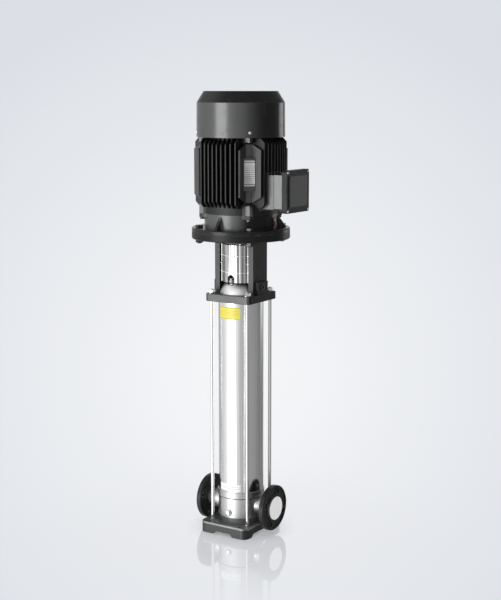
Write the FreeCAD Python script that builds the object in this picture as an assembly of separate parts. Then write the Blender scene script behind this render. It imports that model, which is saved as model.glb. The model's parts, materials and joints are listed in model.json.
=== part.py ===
import FreeCAD, Part

import math
import os

# Vertical multistage pump, in millimetres. The floor is z = 0 and the pump shaft is the z axis.
# The outlet and the terminal box point along +X, the inlet along -X.

# Fits and small gaps. Cutters run 1 mm past the face that they open.
thread_clearance = 0.1
running_clearance = 0.05
seat_clearance = 0.3
root_overlap = 5.0
hexagon_face_share = 0.95
hexagon_corner_slope = 0.58

# Foot casting
foot_length_x = 200.0
foot_length_y = 248.0
foot_corner_radius = 24.0
foot_wall = 10.0
foot_deck_top = 37.0
foot_deck_thickness = 13.0
foot_rim_height = 3.0
foot_rim_width = 7.0
foot_arch_height = 11.0
foot_pad_length_x = 58.0
foot_arch_half_x = foot_length_x / 2 - foot_pad_length_x
foot_pad_length_y = 40.0
foot_arch_half_y = foot_length_y / 2 - foot_pad_length_y
foot_arch_slope = 11.0
foot_edge_radius = 2.5
anchor_inset_x = 35.0
anchor_spacing_x = foot_length_x - 2 * anchor_inset_x
anchor_inset_y = 16.5
anchor_spacing_y = foot_length_y - 2 * anchor_inset_y
anchor_hole_radius = 7.0
anchor_boss_radius = 15.0
pedestal_radius = 80.0
pedestal_wall = 12.0

# Stay bolts
stay_half_spacing = 75.3
stay_bolt_radius = 6.0
stay_thread_depth = 20.0
stay_boss_radius = 14.0
stay_nut_flats = 22.0
stay_nut_height = 10.0
stay_washer_radius = 13.0
stay_washer_thickness = 2.5
stay_end_length = 3.0
stay_collar_radius = 9.0
stay_collar_height = 4.0

# Inlet and outlet chamber
pedestal_height = 19.0
chamber_bottom = foot_deck_top + pedestal_height
chamber_radius = 83.0
chamber_wall = 5.0
chamber_floor = 6.0
chamber_height = 74.0
collar_bottom = chamber_bottom + chamber_height
collar_radius = 85.0
collar_height = 22.0
collar_top = collar_bottom + collar_height
groove_depth = 1.5
groove_height = 2.5
sleeve_seat_depth = 12.0
duct_radius = 52.0
duct_wall = 4.0
stack_plate_thickness = 5.0
eye_radius = 29.0
port_rise = 40.5
port_height = chamber_bottom + port_rise
port_bore_radius = 25.0
neck_radius = 31.0
neck_root_radius = 33.0
neck_root_length = 14.0
neck_wall = 3.0
neck_inside_reach = 4.0
neck_ridge_radius = 37.0
neck_ridge_width = 5.0
port_face_x = 150.0
lap_radius = 43.0
lap_thickness = 11.5

# Loose port flanges, turned as they lie in the photograph
port_flange_radius = 82.5
port_flange_thickness = 18.0
port_flange_setback = 5.5
port_flange_hole_circle = 125.0
port_flange_hole_radius = 9.0
port_flange_holes = 4
port_flange_turn = 68.3
port_flange_recess = 3.0
port_flange_rim = 6.0
port_flange_inner_rim = 5.0
port_flange_pad_radius = 13.0
port_flange_pad_width = 9.0
port_flange_edge = 1.5
cover_radius = 42.0
cover_thickness = 1.0

# Drain plug
drain_rise = 19.0
drain_height = chamber_bottom + drain_rise
drain_boss_radius = 12.0
drain_boss_height = 4.0
drain_flats = 17.0
drain_head_height = 7.0
drain_thread_radius = 6.0
drain_thread_length = 10.0

# Outer sleeve and labels
sleeve_radius = 81.8
sleeve_wall = 2.0
sleeve_height = 708.0
sleeve_top = collar_top + sleeve_height
oring_section_radius = 1.6
oring_inset = 5.0
label_thickness = 0.3
sleeve_label_width = 89.0
sleeve_label_drop = 71.0
sleeve_label_bottom = sleeve_top - sleeve_label_drop
sleeve_label_height = 44.0
sleeve_label_top = sleeve_label_bottom + sleeve_label_height
lower_label_width = 89.0
lower_label_rise = 5.0
lower_label_bottom = collar_top + lower_label_rise
lower_label_height = 25.0
lower_label_top = lower_label_bottom + lower_label_height

# Stage stack
stage_count = 8
stage_pitch = 84.0
stage_radius = 72.0
stage_wall = 3.0
stage_floor = 4.0
impeller_radius = 62.0
impeller_eye_radius = 34.0
impeller_height = 24.0
impeller_rim = 9.0
impeller_lift = 22.0
strap_width = 14.0
strap_thickness = 2.0

# Pump shaft, bottom bush and shaft seal
shaft_radius = 11.0
shaft_end_gap = 14.0
shaft_bottom = chamber_bottom + shaft_end_gap
shaft_reach = 125.0
shaft_top = sleeve_top + shaft_reach
bush_radius = 16.0
bush_rise = 10.0
bush_bottom = chamber_bottom + bush_rise
bush_height = 22.0
bush_boss_radius = 22.0
seal_radius = 28.0
seal_height = 6.0
seal_bore_radius = 12.0
seal_ring_radius = 18.0
seal_ring_height = 8.0

# Head dome, vent plug
dome_radius = 77.8
dome_drop = 1.8
dome_centre = sleeve_top - dome_drop
dome_wall = 4.0
dome_rise = 66.8
dome_flat = dome_centre + dome_rise
dome_skirt_radius = 76.0
dome_flange_thickness = 6.0
vent_reach = 54.0
vent_tilt = 25.0
vent_flats = 19.0
vent_height = 17.0
vent_sink = 6.0
vent_thread_radius = 7.0
vent_thread_length = 4.0
spindle_radius = 4.0
spindle_length = 18.0
spindle_head_radius = 6.0
spindle_head_height = 5.0
spindle_slot_half = 0.8
spindle_slot_depth = 2.0

# Motor stool
stool_plate_overlap = 10.7
stool_plate_bottom = sleeve_top - stool_plate_overlap
stool_plate_thickness = 27.7
stool_plate_top = stool_plate_bottom + stool_plate_thickness
stool_plate_half = 94.0
stool_plate_corner = 15.0
stool_plate_edge = 2.5
stool_bore_clearance = 0.5
stool_wall_inner = 61.0
stool_wall_outer = 81.0
stool_wall_half_width = 46.0
stool_boss_half_width = 34.0
stool_boss_height = 44.0
stool_boss_top = stool_plate_top + stool_boss_height
stool_boss_face = 92.0
stool_plug_radius = 11.0
stool_plug_height = 2.0
stool_plug_depth = 8.0
stool_plug_socket = 10.0
stool_plug_socket_depth = 6.0
stool_plug_rise = 25.0
stool_plug_z = stool_plate_top + stool_plug_rise
flange_radius = 175.0
flange_bolt_inset = 25.0
flange_bolt_circle = 2 * (flange_radius - flange_bolt_inset)
flange_hole_radius = 9.25
stool_height = 195.4
stool_flange_bottom = stool_plate_top + stool_height
stool_flange_thickness = 25.5
motor_face = stool_flange_bottom + stool_flange_thickness
stool_hub_radius = 92.0
stool_hub_depth = 12.4
stool_hub_bottom = stool_flange_bottom - stool_hub_depth
stool_opening_radius = 58.0
flange_edge_chamfer = 3.0

# Coupling guards
guard_radius = 66.0
guard_sheet = 1.0
guard_half_angle = 53.4
guard_rise = 41.0
guard_bottom = stool_plate_top + guard_rise
guard_height = 134.0
guard_top = guard_bottom + guard_height
guard_notch_half_width = 17.0
guard_notch_height = 34.0
guard_notch_top = guard_bottom + guard_notch_height
guard_screw_rise = 67.0
guard_screw_height = guard_bottom + guard_screw_rise
guard_screw_radius = 2.5
guard_screw_head_radius = 3.4
guard_screw_head_height = 3.0
guard_screw_length = 7.0
guard_lug_depth = 9.0
guard_lug_height = 16.0
guard_ridge_low = 36.0
guard_ridge_high = 95.0
guard_ridge_half = 1.4
guard_ridge_height = 0.8
guard_ridge_half_angle = 47.0

# Shaft coupling
coupling_radius = 38.0
coupling_rise = 68.0
coupling_bottom = stool_plate_top + coupling_rise
coupling_length = 125.0
coupling_top = coupling_bottom + coupling_length
coupling_split = 1.5
coupling_screw_offset = 28.0
coupling_screw_radius = 5.0
coupling_screw_head_radius = 8.0
coupling_screw_head_height = 8.0
coupling_nut_flats = 12.8
coupling_screw_inset = 18.0
coupling_seat = 15.0

# Flange bolts
flange_bolt_radius = 8.0
flange_bolt_flats = 24.0
flange_bolt_head = 10.0
flange_nut_height = 13.0
flange_bolt_end = 3.0

# Drive endshield
motor_flange_thickness = 14.5
spigot_radius = 125.0
spigot_height = 4.5
bell_radius = 129.8
bell_wall = 10.0
endshield_height = 65.1
endshield_joint = motor_face + endshield_height
bearing_outer_radius = 50.0
bearing_width = 25.0
bearing_ring = 8.0
bearing_hub_radius = 62.0
endshield_bore_radius = 24.0
drive_bearing_rise = 10.1
drive_bearing_bottom = motor_face + drive_bearing_rise
gusset_reach = 163.0
gusset_thickness = 11.0
gusset_count = 3
gusset_drop = 5.0
gusset_top = endshield_joint - gusset_drop
gusset_turn = -90.0
ear_height = 13.0
drain_pad_turn = 7.0
drain_pad_width = 21.0
drain_pad_depth = 4.2
drain_pad_reach = bell_radius + drain_pad_depth
drain_stopper_radius = 6.0
drain_stopper_head_radius = 8.0
drain_stopper_head = 3.0
drain_stopper_inset = 1.0
drain_stopper_rise = 30.1
drain_stopper_z = motor_face + drain_stopper_rise

# Motor housing
housing_radius = 122.0
housing_bore_radius = 115.0
housing_ring_radius = 130.0
housing_ring_height = 37.0
housing_ring_top = endshield_joint + housing_ring_height
housing_length = 273.0
housing_top = endshield_joint + housing_length
housing_top_ring_height = 16.0
housing_top_ring_step = 3.0
housing_top_ring_radius = housing_ring_radius - housing_top_ring_step
housing_top_ring = housing_top - housing_top_ring_height
fin_count = 9
fin_pitch = 17.8
fin_thickness = 4.5
fin_reach = 153.0
fin_arc_radius = 304.0
fin_gap_below = 25.0
fin_bottom = endshield_joint + fin_gap_below
fin_gap_above = 8.0
fin_top = housing_top - fin_gap_above
fin_root = 60.0
web_plane = 88.0
web_root = 104.5
web_reach = 139.6
web_thickness = 7.0
web_inset_below = 21.0
web_bottom = fin_bottom + web_inset_below
web_inset_above = 20.0
web_top = fin_top - web_inset_above
web_chamfer = 19.0
lug_reach = 106.0
lug_length = 36.0
lug_height = 34.0
lug_top = endshield_joint + lug_height
upper_lug_height = 22.0
upper_lug_bottom = housing_top - upper_lug_height
endshield_screw_radius = 5.0
endshield_screw_flats = 16.0
endshield_screw_head = 7.0
endshield_screw_length = 34.0
nameplate_face = 146.0
nameplate_pad_width = 42.0
nameplate_pad_rise = 41.0
nameplate_pad_bottom = web_bottom + nameplate_pad_rise
nameplate_pad_height = 112.0
nameplate_pad_top = nameplate_pad_bottom + nameplate_pad_height
nameplate_width = 38.0
nameplate_rise = 16.0
nameplate_bottom = nameplate_pad_bottom + nameplate_rise
nameplate_height = 88.0
nameplate_top = nameplate_bottom + nameplate_height
nameplate_thickness = 1.0

# Stator, rotor, motor shaft, bearings
stator_bore_radius = 75.0
stator_rise = 37.0
stator_bottom = endshield_joint + stator_rise
stator_length = 190.0
stator_top = stator_bottom + stator_length
winding_radius = 106.0
winding_length = 22.0
air_gap = 0.6
rotor_inset = 8.0
rotor_bottom = stator_bottom + rotor_inset
rotor_top = stator_top - rotor_inset
motor_shaft_radius = 21.0
motor_shaft_body_radius = 26.0
bearing_bore_radius = 22.5
shaft_gap = 3.0
motor_shaft_bottom = shaft_top + shaft_gap
motor_shaft_reach = 82.0
motor_shaft_top = housing_top + motor_shaft_reach
fan_bearing_drop = 28.0
fan_bearing_bottom = housing_top - fan_bearing_drop
fan_endshield_cap = 10.0
fan_endshield_top = housing_top + fan_endshield_cap

# Fan and cowl
fan_hub_radius = 34.0
fan_rise = 34.0
fan_bottom = housing_top + fan_rise
fan_height = 40.0
fan_plate = 5.0
fan_disc_radius = 78.0
fan_radius = 132.0
fan_blade_count = 7
fan_blade_thickness = 4.0
cowl_radius = 156.5
cowl_shoulder_radius = 155.5
cowl_rim_radius = 130.8
cowl_overlap = 5.7
cowl_bottom = housing_top - cowl_overlap
cowl_skirt_height = 118.7
cowl_shoulder = cowl_bottom + cowl_skirt_height
cowl_taper_height = 39.7
cowl_top = cowl_shoulder + cowl_taper_height
cowl_sheet = 2.0
cowl_shoulder_drop = 1.2
grille_rings = 3
grille_slots = 12
grille_inner_radius = 34.0
grille_outer_radius = 122.0
grille_bar = 9.0
cowl_screw_rise = 17.7
cowl_screw_height = cowl_bottom + cowl_screw_rise
cowl_screw_radius = 3.0
cowl_screw_length = 14.0
cowl_arm_half_width = 12.0
cowl_arm_overlap = 10.0
cowl_arm_height = 20.0
cowl_screw_head_radius = 5.5
cowl_screw_head_height = 3.5

# Terminal box
pad_face = 171.0
pad_half_width = 55.0
pad_root = 102.0
pad_rise = 22.0
pad_bottom = endshield_joint + pad_rise
pad_height = 118.0
pad_top = pad_bottom + pad_height
gasket_thickness = 2.5
gasket_inset = 2.0
box_depth = 45.0
box_face = pad_face + box_depth
box_half_width = 57.0
box_rise = 3.0
box_bottom = pad_bottom + box_rise
box_height = 116.0
box_top = box_bottom + box_height
box_wall = 5.0
lid_depth = 19.0
lid_face = box_face + lid_depth
lid_half_width = 75.5
lid_overhang = 13.2
lid_bottom = box_bottom - lid_overhang
lid_height = 147.1
lid_top = lid_bottom + lid_height
lid_corner_radius = 8.0
lid_panel_height = 4.0
lid_panel_inset = 21.0
lid_screw_inset = 8.0
lid_screw_radius = 3.0
lid_screw_head_radius = 4.5
lid_screw_head_height = 3.0
lid_screw_grip = 2.0
board_width = 70.0
board_height = 45.0
board_thickness = 14.0
board_window_inset = 8.0
board_post_radius = 3.0
board_post_height = 8.0
board_post_pitch_y = 20.6
board_post_pitch_z = 22.5
gland_radius = 16.0
gland_length = 22.0
gland_flats = 36.0
gland_dome_radius = 14.0
gland_thread_length = 9.0
gland_reach = 24.0
gland_x = pad_face + gland_reach
gland_nut_height = 8.0
gland_wall = 6.0

ORIGIN = FreeCAD.Vector(0, 0, 0)
AXIS_X = FreeCAD.Vector(1, 0, 0)
AXIS_Y = FreeCAD.Vector(0, 1, 0)
AXIS_Z = FreeCAD.Vector(0, 0, 1)
CORNER_ANGLES = (45.0, 135.0, 225.0, 315.0)


# Basic shapes

def rod(radius, start, end, x=0.0, y=0.0):
    return Part.makeCylinder(radius, end - start, FreeCAD.Vector(x, y, start), AXIS_Z)


def rod_x(radius, start, end, y=0.0, z=0.0):
    return Part.makeCylinder(radius, end - start, FreeCAD.Vector(start, y, z), AXIS_X)


def rod_y(radius, start, end, x=0.0, z=0.0):
    return Part.makeCylinder(radius, end - start, FreeCAD.Vector(x, start, z), AXIS_Y)


def ring(outer, inner, start, end):
    return rod(outer, start, end).cut(rod(inner, start - 1, end + 1))


def block(x0, x1, y0, y1, z0, z1):
    return Part.makeBox(x1 - x0, y1 - y0, z1 - z0, FreeCAD.Vector(x0, y0, z0))


def rounded_block(length_x, length_y, radius, z0, z1):
    box = block(-length_x / 2, length_x / 2, -length_y / 2, length_y / 2, z0, z1)
    upright = [e for e in box.Edges if abs(e.tangentAt(e.FirstParameter).z) > 0.9]
    return box.makeFillet(radius, upright)


def softened(shape, radius, level):
    """The same block with the edges at this height rounded, as on a casting."""
    boxes = [(edge, edge.BoundBox) for edge in shape.Edges]
    edges = [edge for edge, box in boxes if abs(box.ZMin - level) < 0.01 and abs(box.ZMax - level) < 0.01]
    return shape.makeFillet(radius, edges)


def polygon(points):
    corners = [FreeCAD.Vector(*p) for p in points]
    return Part.Face(Part.makePolygon(corners + corners[:1]))


def turned(profile):
    """A solid of revolution about z from (radius, height) points."""
    return polygon([(r, 0, z) for r, z in profile]).revolve(ORIGIN, AXIS_Z, 360)


def turned_x(profile, z):
    """A solid of revolution about the line through height z along x, from (x, radius) points."""
    face = polygon([(x, 0, z + r) for x, r in profile])
    return face.revolve(FreeCAD.Vector(0, 0, z), AXIS_X, 360)


def hexagon(flats, start, end, x=0.0, y=0.0):
    radius = flats / math.sqrt(3)
    points = []
    for k in range(6):
        angle = math.radians(60 * k)
        points.append((x + radius * math.cos(angle), y + radius * math.sin(angle), start))
    return polygon(points).extrude(FreeCAD.Vector(0, 0, end - start))


def hexagon_head(flats, start, end, x=0.0, y=0.0):
    """A nut or a bolt head: a hexagon with its corners turned off at both ends."""
    face = hexagon_face_share * flats / 2
    reach = flats / math.sqrt(3) + 1
    drop = hexagon_corner_slope * (reach - face)
    turning = turned([
        (0, start), (face, start), (reach, start + drop),
        (reach, end - drop), (face, end), (0, end),
    ])
    turning.translate(FreeCAD.Vector(x, y, 0))
    return hexagon(flats, start, end, x, y).common(turning)


def spun(shape, angle):
    copy = shape.copy()
    copy.rotate(ORIGIN, AXIS_Z, angle)
    return copy


def around(shape, angles):
    return [spun(shape, angle) for angle in angles]


def fuse(shapes):
    """One solid from several that overlap."""
    return shapes[0].multiFuse(shapes[1:])


def grown(body, shapes):
    """The body with shapes added one by one, where some of them just touch."""
    for shape in shapes:
        body = body.fuse(shape)
    return body


def carved(body, cutters):
    """The body with cutters taken out one by one, where some of them just touch."""
    for cutter in cutters:
        body = body.cut(cutter)
    return body


def group(shapes):
    return Part.makeCompound(shapes)


def stay_places():
    return [(sx * stay_half_spacing, sy * stay_half_spacing) for sx in (-1, 1) for sy in (-1, 1)]


def anchor_places():
    return [(sx * anchor_spacing_x / 2, sy * anchor_spacing_y / 2) for sx in (-1, 1) for sy in (-1, 1)]


# Foot casting

def foot_arch_along_x():
    low, high = foot_arch_half_x, foot_arch_half_x - foot_arch_slope
    side = foot_length_y
    top = foot_arch_height
    points = [(-low, -side, -1), (low, -side, -1), (high, -side, top), (-high, -side, top)]
    return polygon(points).extrude(FreeCAD.Vector(0, 2 * side, 0))


def foot_arch_along_y():
    low, high = foot_arch_half_y, foot_arch_half_y - foot_arch_slope
    side = foot_length_x
    top = foot_arch_height
    points = [(-side, -low, -1), (-side, low, -1), (-side, high, top), (-side, -high, top)]
    return polygon(points).extrude(FreeCAD.Vector(2 * side, 0, 0))


def base_plate():
    deck_bottom = foot_deck_top - foot_deck_thickness
    rim_top = foot_deck_top + foot_rim_height
    shell = rounded_block(foot_length_x, foot_length_y, foot_corner_radius, 0, rim_top)
    shell = softened(shell, foot_edge_radius, rim_top)
    hollow = rounded_block(foot_length_x - 2 * foot_wall, foot_length_y - 2 * foot_wall,
                           foot_corner_radius - foot_wall, -1, deck_bottom)
    recess = rounded_block(foot_length_x - 2 * foot_rim_width, foot_length_y - 2 * foot_rim_width,
                           foot_corner_radius - foot_rim_width, foot_deck_top, rim_top + 1)
    body = shell.cut(hollow).cut(recess)
    bosses = [rod(anchor_boss_radius, 0, rim_top, x, y) for x, y in anchor_places()]
    bosses += [rod(stay_boss_radius, 0, foot_deck_top, x, y) for x, y in stay_places()]
    pedestal = rod(pedestal_radius, deck_bottom, chamber_bottom)
    body = grown(body, bosses + [pedestal])
    cuts = [rod(anchor_hole_radius, -1, rim_top + 1, x, y) for x, y in anchor_places()]
    cuts += [rod(stay_bolt_radius + thread_clearance, foot_deck_top - stay_thread_depth, rim_top + 1, x, y)
             for x, y in stay_places()]
    cuts.append(rod(pedestal_radius - pedestal_wall, -1, chamber_bottom - pedestal_wall))
    return carved(body, cuts + [foot_arch_along_x(), foot_arch_along_y()])


# Inlet and outlet chamber

def neck_ring_wall():
    return port_bore_radius + neck_wall


def port_neck(start):
    """One welded neck towards +X: a plain tube inside the chamber, stepped outside it."""
    ridge = chamber_radius + neck_root_length
    lap = port_face_x - lap_thickness
    tube = neck_ring_wall()
    profile = [
        (start, port_bore_radius), (start, tube), (chamber_radius, tube),
        (chamber_radius, neck_root_radius), (ridge, neck_root_radius),
        (ridge, neck_ridge_radius), (ridge + neck_ridge_width, neck_ridge_radius),
        (ridge + neck_ridge_width, neck_radius), (lap, neck_radius),
        (lap, lap_radius), (port_face_x, lap_radius), (port_face_x, port_bore_radius),
    ]
    root = rod_x(neck_root_radius, chamber_radius / 2, chamber_radius + 1, z=port_height)
    root = root.cut(rod(chamber_radius + thread_clearance, chamber_bottom - 1, collar_top))
    root = root.cut(rod_x(tube - 1, chamber_radius / 2 - 1, chamber_radius + 2, z=port_height))
    return fuse([turned_x(profile, port_height), root])


def outlet_neck():
    return port_neck(chamber_radius - chamber_wall - neck_inside_reach)


def inlet_neck():
    """Runs through the annular space to the duct around the first stage's eye."""
    return port_neck(duct_radius - duct_wall).mirror(ORIGIN, AXIS_X)


def neck_hole(start, end):
    return rod_x(neck_ring_wall() + thread_clearance, start, end, z=port_height)


def suction_duct():
    floor = chamber_bottom + chamber_floor
    stack = stack_seat()
    under = stack - stack_plate_thickness
    duct = turned([
        (duct_radius, floor), (duct_radius, under), (stage_radius, under), (stage_radius, stack),
        (eye_radius, stack), (eye_radius, under),
        (duct_radius - duct_wall, under), (duct_radius - duct_wall, floor),
    ])
    return duct.cut(neck_hole(-duct_radius - 1, 0))


def base_chamber():
    inner = chamber_radius - chamber_wall
    floor = chamber_bottom + chamber_floor
    groove_bottom = collar_bottom - groove_height
    seat = sleeve_radius + thread_clearance
    bush_seat = bush_radius + thread_clearance
    bush_top = bush_bottom + bush_height
    shell = turned([
        (0, chamber_bottom), (chamber_radius, chamber_bottom), (chamber_radius, groove_bottom),
        (chamber_radius - groove_depth, groove_bottom), (chamber_radius - groove_depth, collar_bottom),
        (collar_radius, collar_bottom), (collar_radius, collar_top),
        (seat, collar_top), (seat, sleeve_bottom()), (inner, sleeve_bottom()), (inner, floor),
        (bush_boss_radius, floor), (bush_boss_radius, bush_top), (bush_seat, bush_top),
        (bush_seat, bush_bottom), (0, bush_bottom),
    ])
    drain_boss = rod_y(drain_boss_radius, -drain_face(), -inner, z=drain_height)
    body = shell.fuse(drain_boss.cut(rod(inner + 1, chamber_bottom, collar_bottom)))
    drain_hole = rod_y(drain_thread_radius + thread_clearance, -drain_face() - 1, -inner + 1, z=drain_height)
    outlet_hole = neck_hole(inner / 2, chamber_radius + 1)
    inlet_hole = neck_hole(-chamber_radius - 1, -inner / 2)
    return body.cut([outlet_hole, inlet_hole, drain_hole])


def drain_face():
    return chamber_radius + drain_boss_height


def stack_seat():
    return collar_bottom


def sleeve_bottom():
    return collar_top - sleeve_seat_depth


def drain_plug():
    head = hexagon_head(drain_flats, 0, drain_head_height)
    thread = rod(drain_thread_radius, -drain_thread_length, 0)
    plug = head.fuse(thread)
    plug.rotate(ORIGIN, AXIS_X, 90)
    plug.translate(FreeCAD.Vector(0, -drain_face(), drain_height))
    return plug


def port_hole_places():
    places = []
    for k in range(port_flange_holes):
        angle = math.radians(port_flange_turn + k * 360 / port_flange_holes)
        reach = port_flange_hole_circle / 2
        places.append((reach * math.cos(angle), port_height + reach * math.sin(angle)))
    return places


def port_flange_pads(start, end):
    """The pads that carry the holes across the recess in the front."""
    pads = []
    half = port_flange_pad_width
    for k, (y, z) in enumerate(port_hole_places()):
        spoke = block(start, end, lap_radius, port_flange_radius - 1, -half, half)
        spoke.rotate(ORIGIN, AXIS_X, port_flange_turn + k * 360 / port_flange_holes)
        spoke.translate(FreeCAD.Vector(0, 0, port_height))
        pads.append(spoke)
        pads.append(rod_x(port_flange_pad_radius, start, end, y, z))
    return pads


def port_flange():
    face = port_face_x - port_flange_setback
    back = face - port_flange_thickness
    floor = face - port_flange_recess
    lap = port_face_x - lap_thickness
    edge = port_flange_edge
    rim = port_flange_radius
    disc = turned_x([
        (back, 0), (back, rim - edge), (back + edge, rim),
        (face - edge, rim), (face, rim - edge), (face, 0),
    ], port_height)
    recess = rod_x(port_flange_radius - port_flange_rim, floor, face + 1, z=port_height)
    recess = recess.cut(rod_x(lap_radius + seat_clearance + port_flange_inner_rim, floor - 1, face + 2,
                              z=port_height))
    for pad in port_flange_pads(floor - 1, face + 2):
        recess = recess.cut(pad)
    cuts = [recess]
    cuts.append(rod_x(neck_radius + seat_clearance, back - 1, lap + 1, z=port_height))
    cuts.append(rod_x(lap_radius + seat_clearance, lap - seat_clearance, face + 1, z=port_height))
    cuts += [rod_x(port_flange_hole_radius, back - 1, face + 1, y, z) for y, z in port_hole_places()]
    return disc.cut(cuts)


def port_cover():
    return rod_x(cover_radius, port_face_x, port_face_x + cover_thickness, z=port_height)


# Sleeve

def outer_sleeve():
    return ring(sleeve_radius, sleeve_radius - sleeve_wall, sleeve_bottom(), sleeve_top)


def oring(z):
    """A ring of round section, on the inside of the sleeve at height z."""
    centre = FreeCAD.Vector(sleeve_radius - sleeve_wall - oring_section_radius, 0, z)
    section = Part.Face(Part.Wire(Part.Circle(centre, AXIS_Y, oring_section_radius).toShape()))
    return section.revolve(ORIGIN, AXIS_Z, 360)


def sleeve_orings():
    return group([oring(sleeve_bottom() + oring_inset), oring(sleeve_top - oring_inset)])


def curved_label(width, bottom, top):
    outer = sleeve_radius + label_thickness
    angle = math.degrees(width / sleeve_radius)
    band = Part.makeCylinder(outer, top - bottom, FreeCAD.Vector(0, 0, bottom), AXIS_Z, angle)
    core = rod(sleeve_radius, bottom - 1, top + 1)
    return spun(band.cut(core), -90 - angle / 2)


# Stage stack

def stage_chamber(index):
    bottom = stack_seat() + index * stage_pitch
    top = bottom + stage_pitch
    inner = stage_radius - stage_wall
    return turned([
        (eye_radius, bottom), (stage_radius, bottom), (stage_radius, top), (inner, top),
        (inner, bottom + stage_floor), (eye_radius, bottom + stage_floor),
    ])


def impeller(index):
    bottom = stack_seat() + index * stage_pitch + impeller_lift
    top = bottom + impeller_height
    return turned([
        (shaft_radius, bottom), (impeller_eye_radius, bottom), (impeller_radius, top - impeller_rim),
        (impeller_radius, top), (shaft_radius, top),
    ])


def stage_straps():
    bottom = stack_seat() - stack_plate_thickness
    top = stack_seat() + stage_count * stage_pitch
    half = strap_width / 2
    strap = block(stage_radius, stage_radius + strap_thickness, -half, half, bottom, top)
    return group(around(strap, (0, 90, 180, 270)))


def pump_shaft():
    return rod(shaft_radius, shaft_bottom, shaft_top)


def bottom_bush():
    return ring(bush_radius, shaft_radius + running_clearance, bush_bottom, bush_bottom + bush_height)


# Head

def dome_point(radius, angle):
    """A point on a sphere about the dome's centre, at an angle above the horizontal in degrees."""
    turn = math.radians(angle)
    return FreeCAD.Vector(radius * math.cos(turn), 0, dome_centre + radius * math.sin(turn))


def dome_solid(radius, low_radius, flat, bottom):
    """A domed plug: upright to low_radius, then a sphere up to a flat top."""
    low = math.degrees(math.acos(low_radius / radius))
    high = math.degrees(math.asin((flat - dome_centre) / radius))
    middle = (low + high) / 2
    arc = Part.Arc(dome_point(radius, low), dome_point(radius, middle), dome_point(radius, high))
    foot = FreeCAD.Vector(0, 0, bottom)
    shoulder = FreeCAD.Vector(low_radius, 0, bottom)
    peak = FreeCAD.Vector(0, 0, flat)
    edges = [Part.LineSegment(foot, shoulder), Part.LineSegment(shoulder, dome_point(radius, low)), arc,
             Part.LineSegment(dome_point(radius, high), peak), Part.LineSegment(peak, foot)]
    wire = Part.Wire([edge.toShape() for edge in edges])
    return Part.Face(wire).revolve(ORIGIN, AXIS_Z, 360)


def head_cover():
    flange_top = sleeve_top + dome_flange_thickness
    outside = dome_solid(dome_radius, dome_skirt_radius, dome_flat, sleeve_top)
    inside = dome_solid(dome_radius - dome_wall, dome_skirt_radius - dome_wall, dome_flat - dome_wall,
                        sleeve_top - 1)
    body = outside.fuse(rod(sleeve_radius, sleeve_top, flange_top)).cut(inside)
    body = body.cut(rod(seal_ring_radius, dome_flat - 2 * dome_wall, dome_flat + 1))
    return body.cut(vent_frame(rod(vent_thread_radius + thread_clearance, -3 * dome_wall, vent_height)))


def vent_frame(shape):
    """Carries a shape from the z axis to the vent plug's place and tilt on the dome."""
    copy = shape.copy()
    copy.rotate(ORIGIN, AXIS_X, vent_tilt)
    height = dome_centre + math.sqrt(dome_radius ** 2 - vent_reach ** 2)
    copy.translate(FreeCAD.Vector(0, -vent_reach, height))
    return copy


def vent_plug():
    dome = dome_solid(dome_radius, dome_skirt_radius, dome_flat, sleeve_top)
    head = hexagon_head(vent_flats, -vent_sink, vent_height)
    thread = rod(vent_thread_radius, -vent_sink - vent_thread_length, 0)
    head = vent_frame(head).cut(dome)
    plug = head.fuse(vent_frame(thread))
    bore = rod(spindle_radius + running_clearance, vent_height - spindle_length, vent_height + 1)
    return plug.cut(vent_frame(bore))


def vent_spindle():
    stem = rod(spindle_radius, vent_height - spindle_length + 1, vent_height + seat_clearance)
    head_bottom = vent_height + seat_clearance
    head = rod(spindle_head_radius, head_bottom, head_bottom + spindle_head_height)
    head_top = head_bottom + spindle_head_height
    slot = block(-spindle_head_radius, spindle_head_radius, -spindle_slot_half, spindle_slot_half,
                 head_top - spindle_slot_depth, head_top + 1)
    return vent_frame(stem.fuse(head).cut(slot))


def shaft_seal():
    collar = ring(seal_radius, seal_bore_radius, dome_flat, dome_flat + seal_height)
    seat = ring(seal_ring_radius - thread_clearance, seal_bore_radius, dome_flat - dome_wall, dome_flat)
    return collar.fuse(seat)


def seal_ring():
    bottom = dome_flat + seal_height + running_clearance
    return ring(seal_ring_radius, shaft_radius, bottom, bottom + seal_ring_height)


# Motor stool

def stool_side():
    bottom = stool_plate_bottom + root_overlap
    wall = block(stool_wall_inner, stool_wall_outer, -stool_wall_half_width, stool_wall_half_width,
                 bottom, stool_flange_bottom + root_overlap)
    boss = block(stool_wall_inner, stool_boss_face, -stool_boss_half_width, stool_boss_half_width,
                 bottom, stool_boss_top)
    return wall.fuse(boss)


def guard_lug():
    """The lug for one guard screw, inside the +X wall on the -Y side."""
    seat = guard_ear_plane()
    inner = stool_wall_inner - guard_lug_depth
    half = guard_lug_height / 2
    return block(inner, stool_wall_inner + 1, -seat, -seat + guard_lug_depth,
                 guard_screw_height - half, guard_screw_height + half)


def guard_ear_plane():
    """Distance from the shaft to the inner face of a guard's ear, measured along y."""
    return guard_radius * math.cos(math.radians(guard_half_angle)) - guard_sheet


def mirrored(shape):
    return [shape, shape.mirror(ORIGIN, AXIS_X)]


def four_ways(shape):
    return [other for half in mirrored(shape) for other in (half, half.mirror(ORIGIN, AXIS_Y))]


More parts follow.
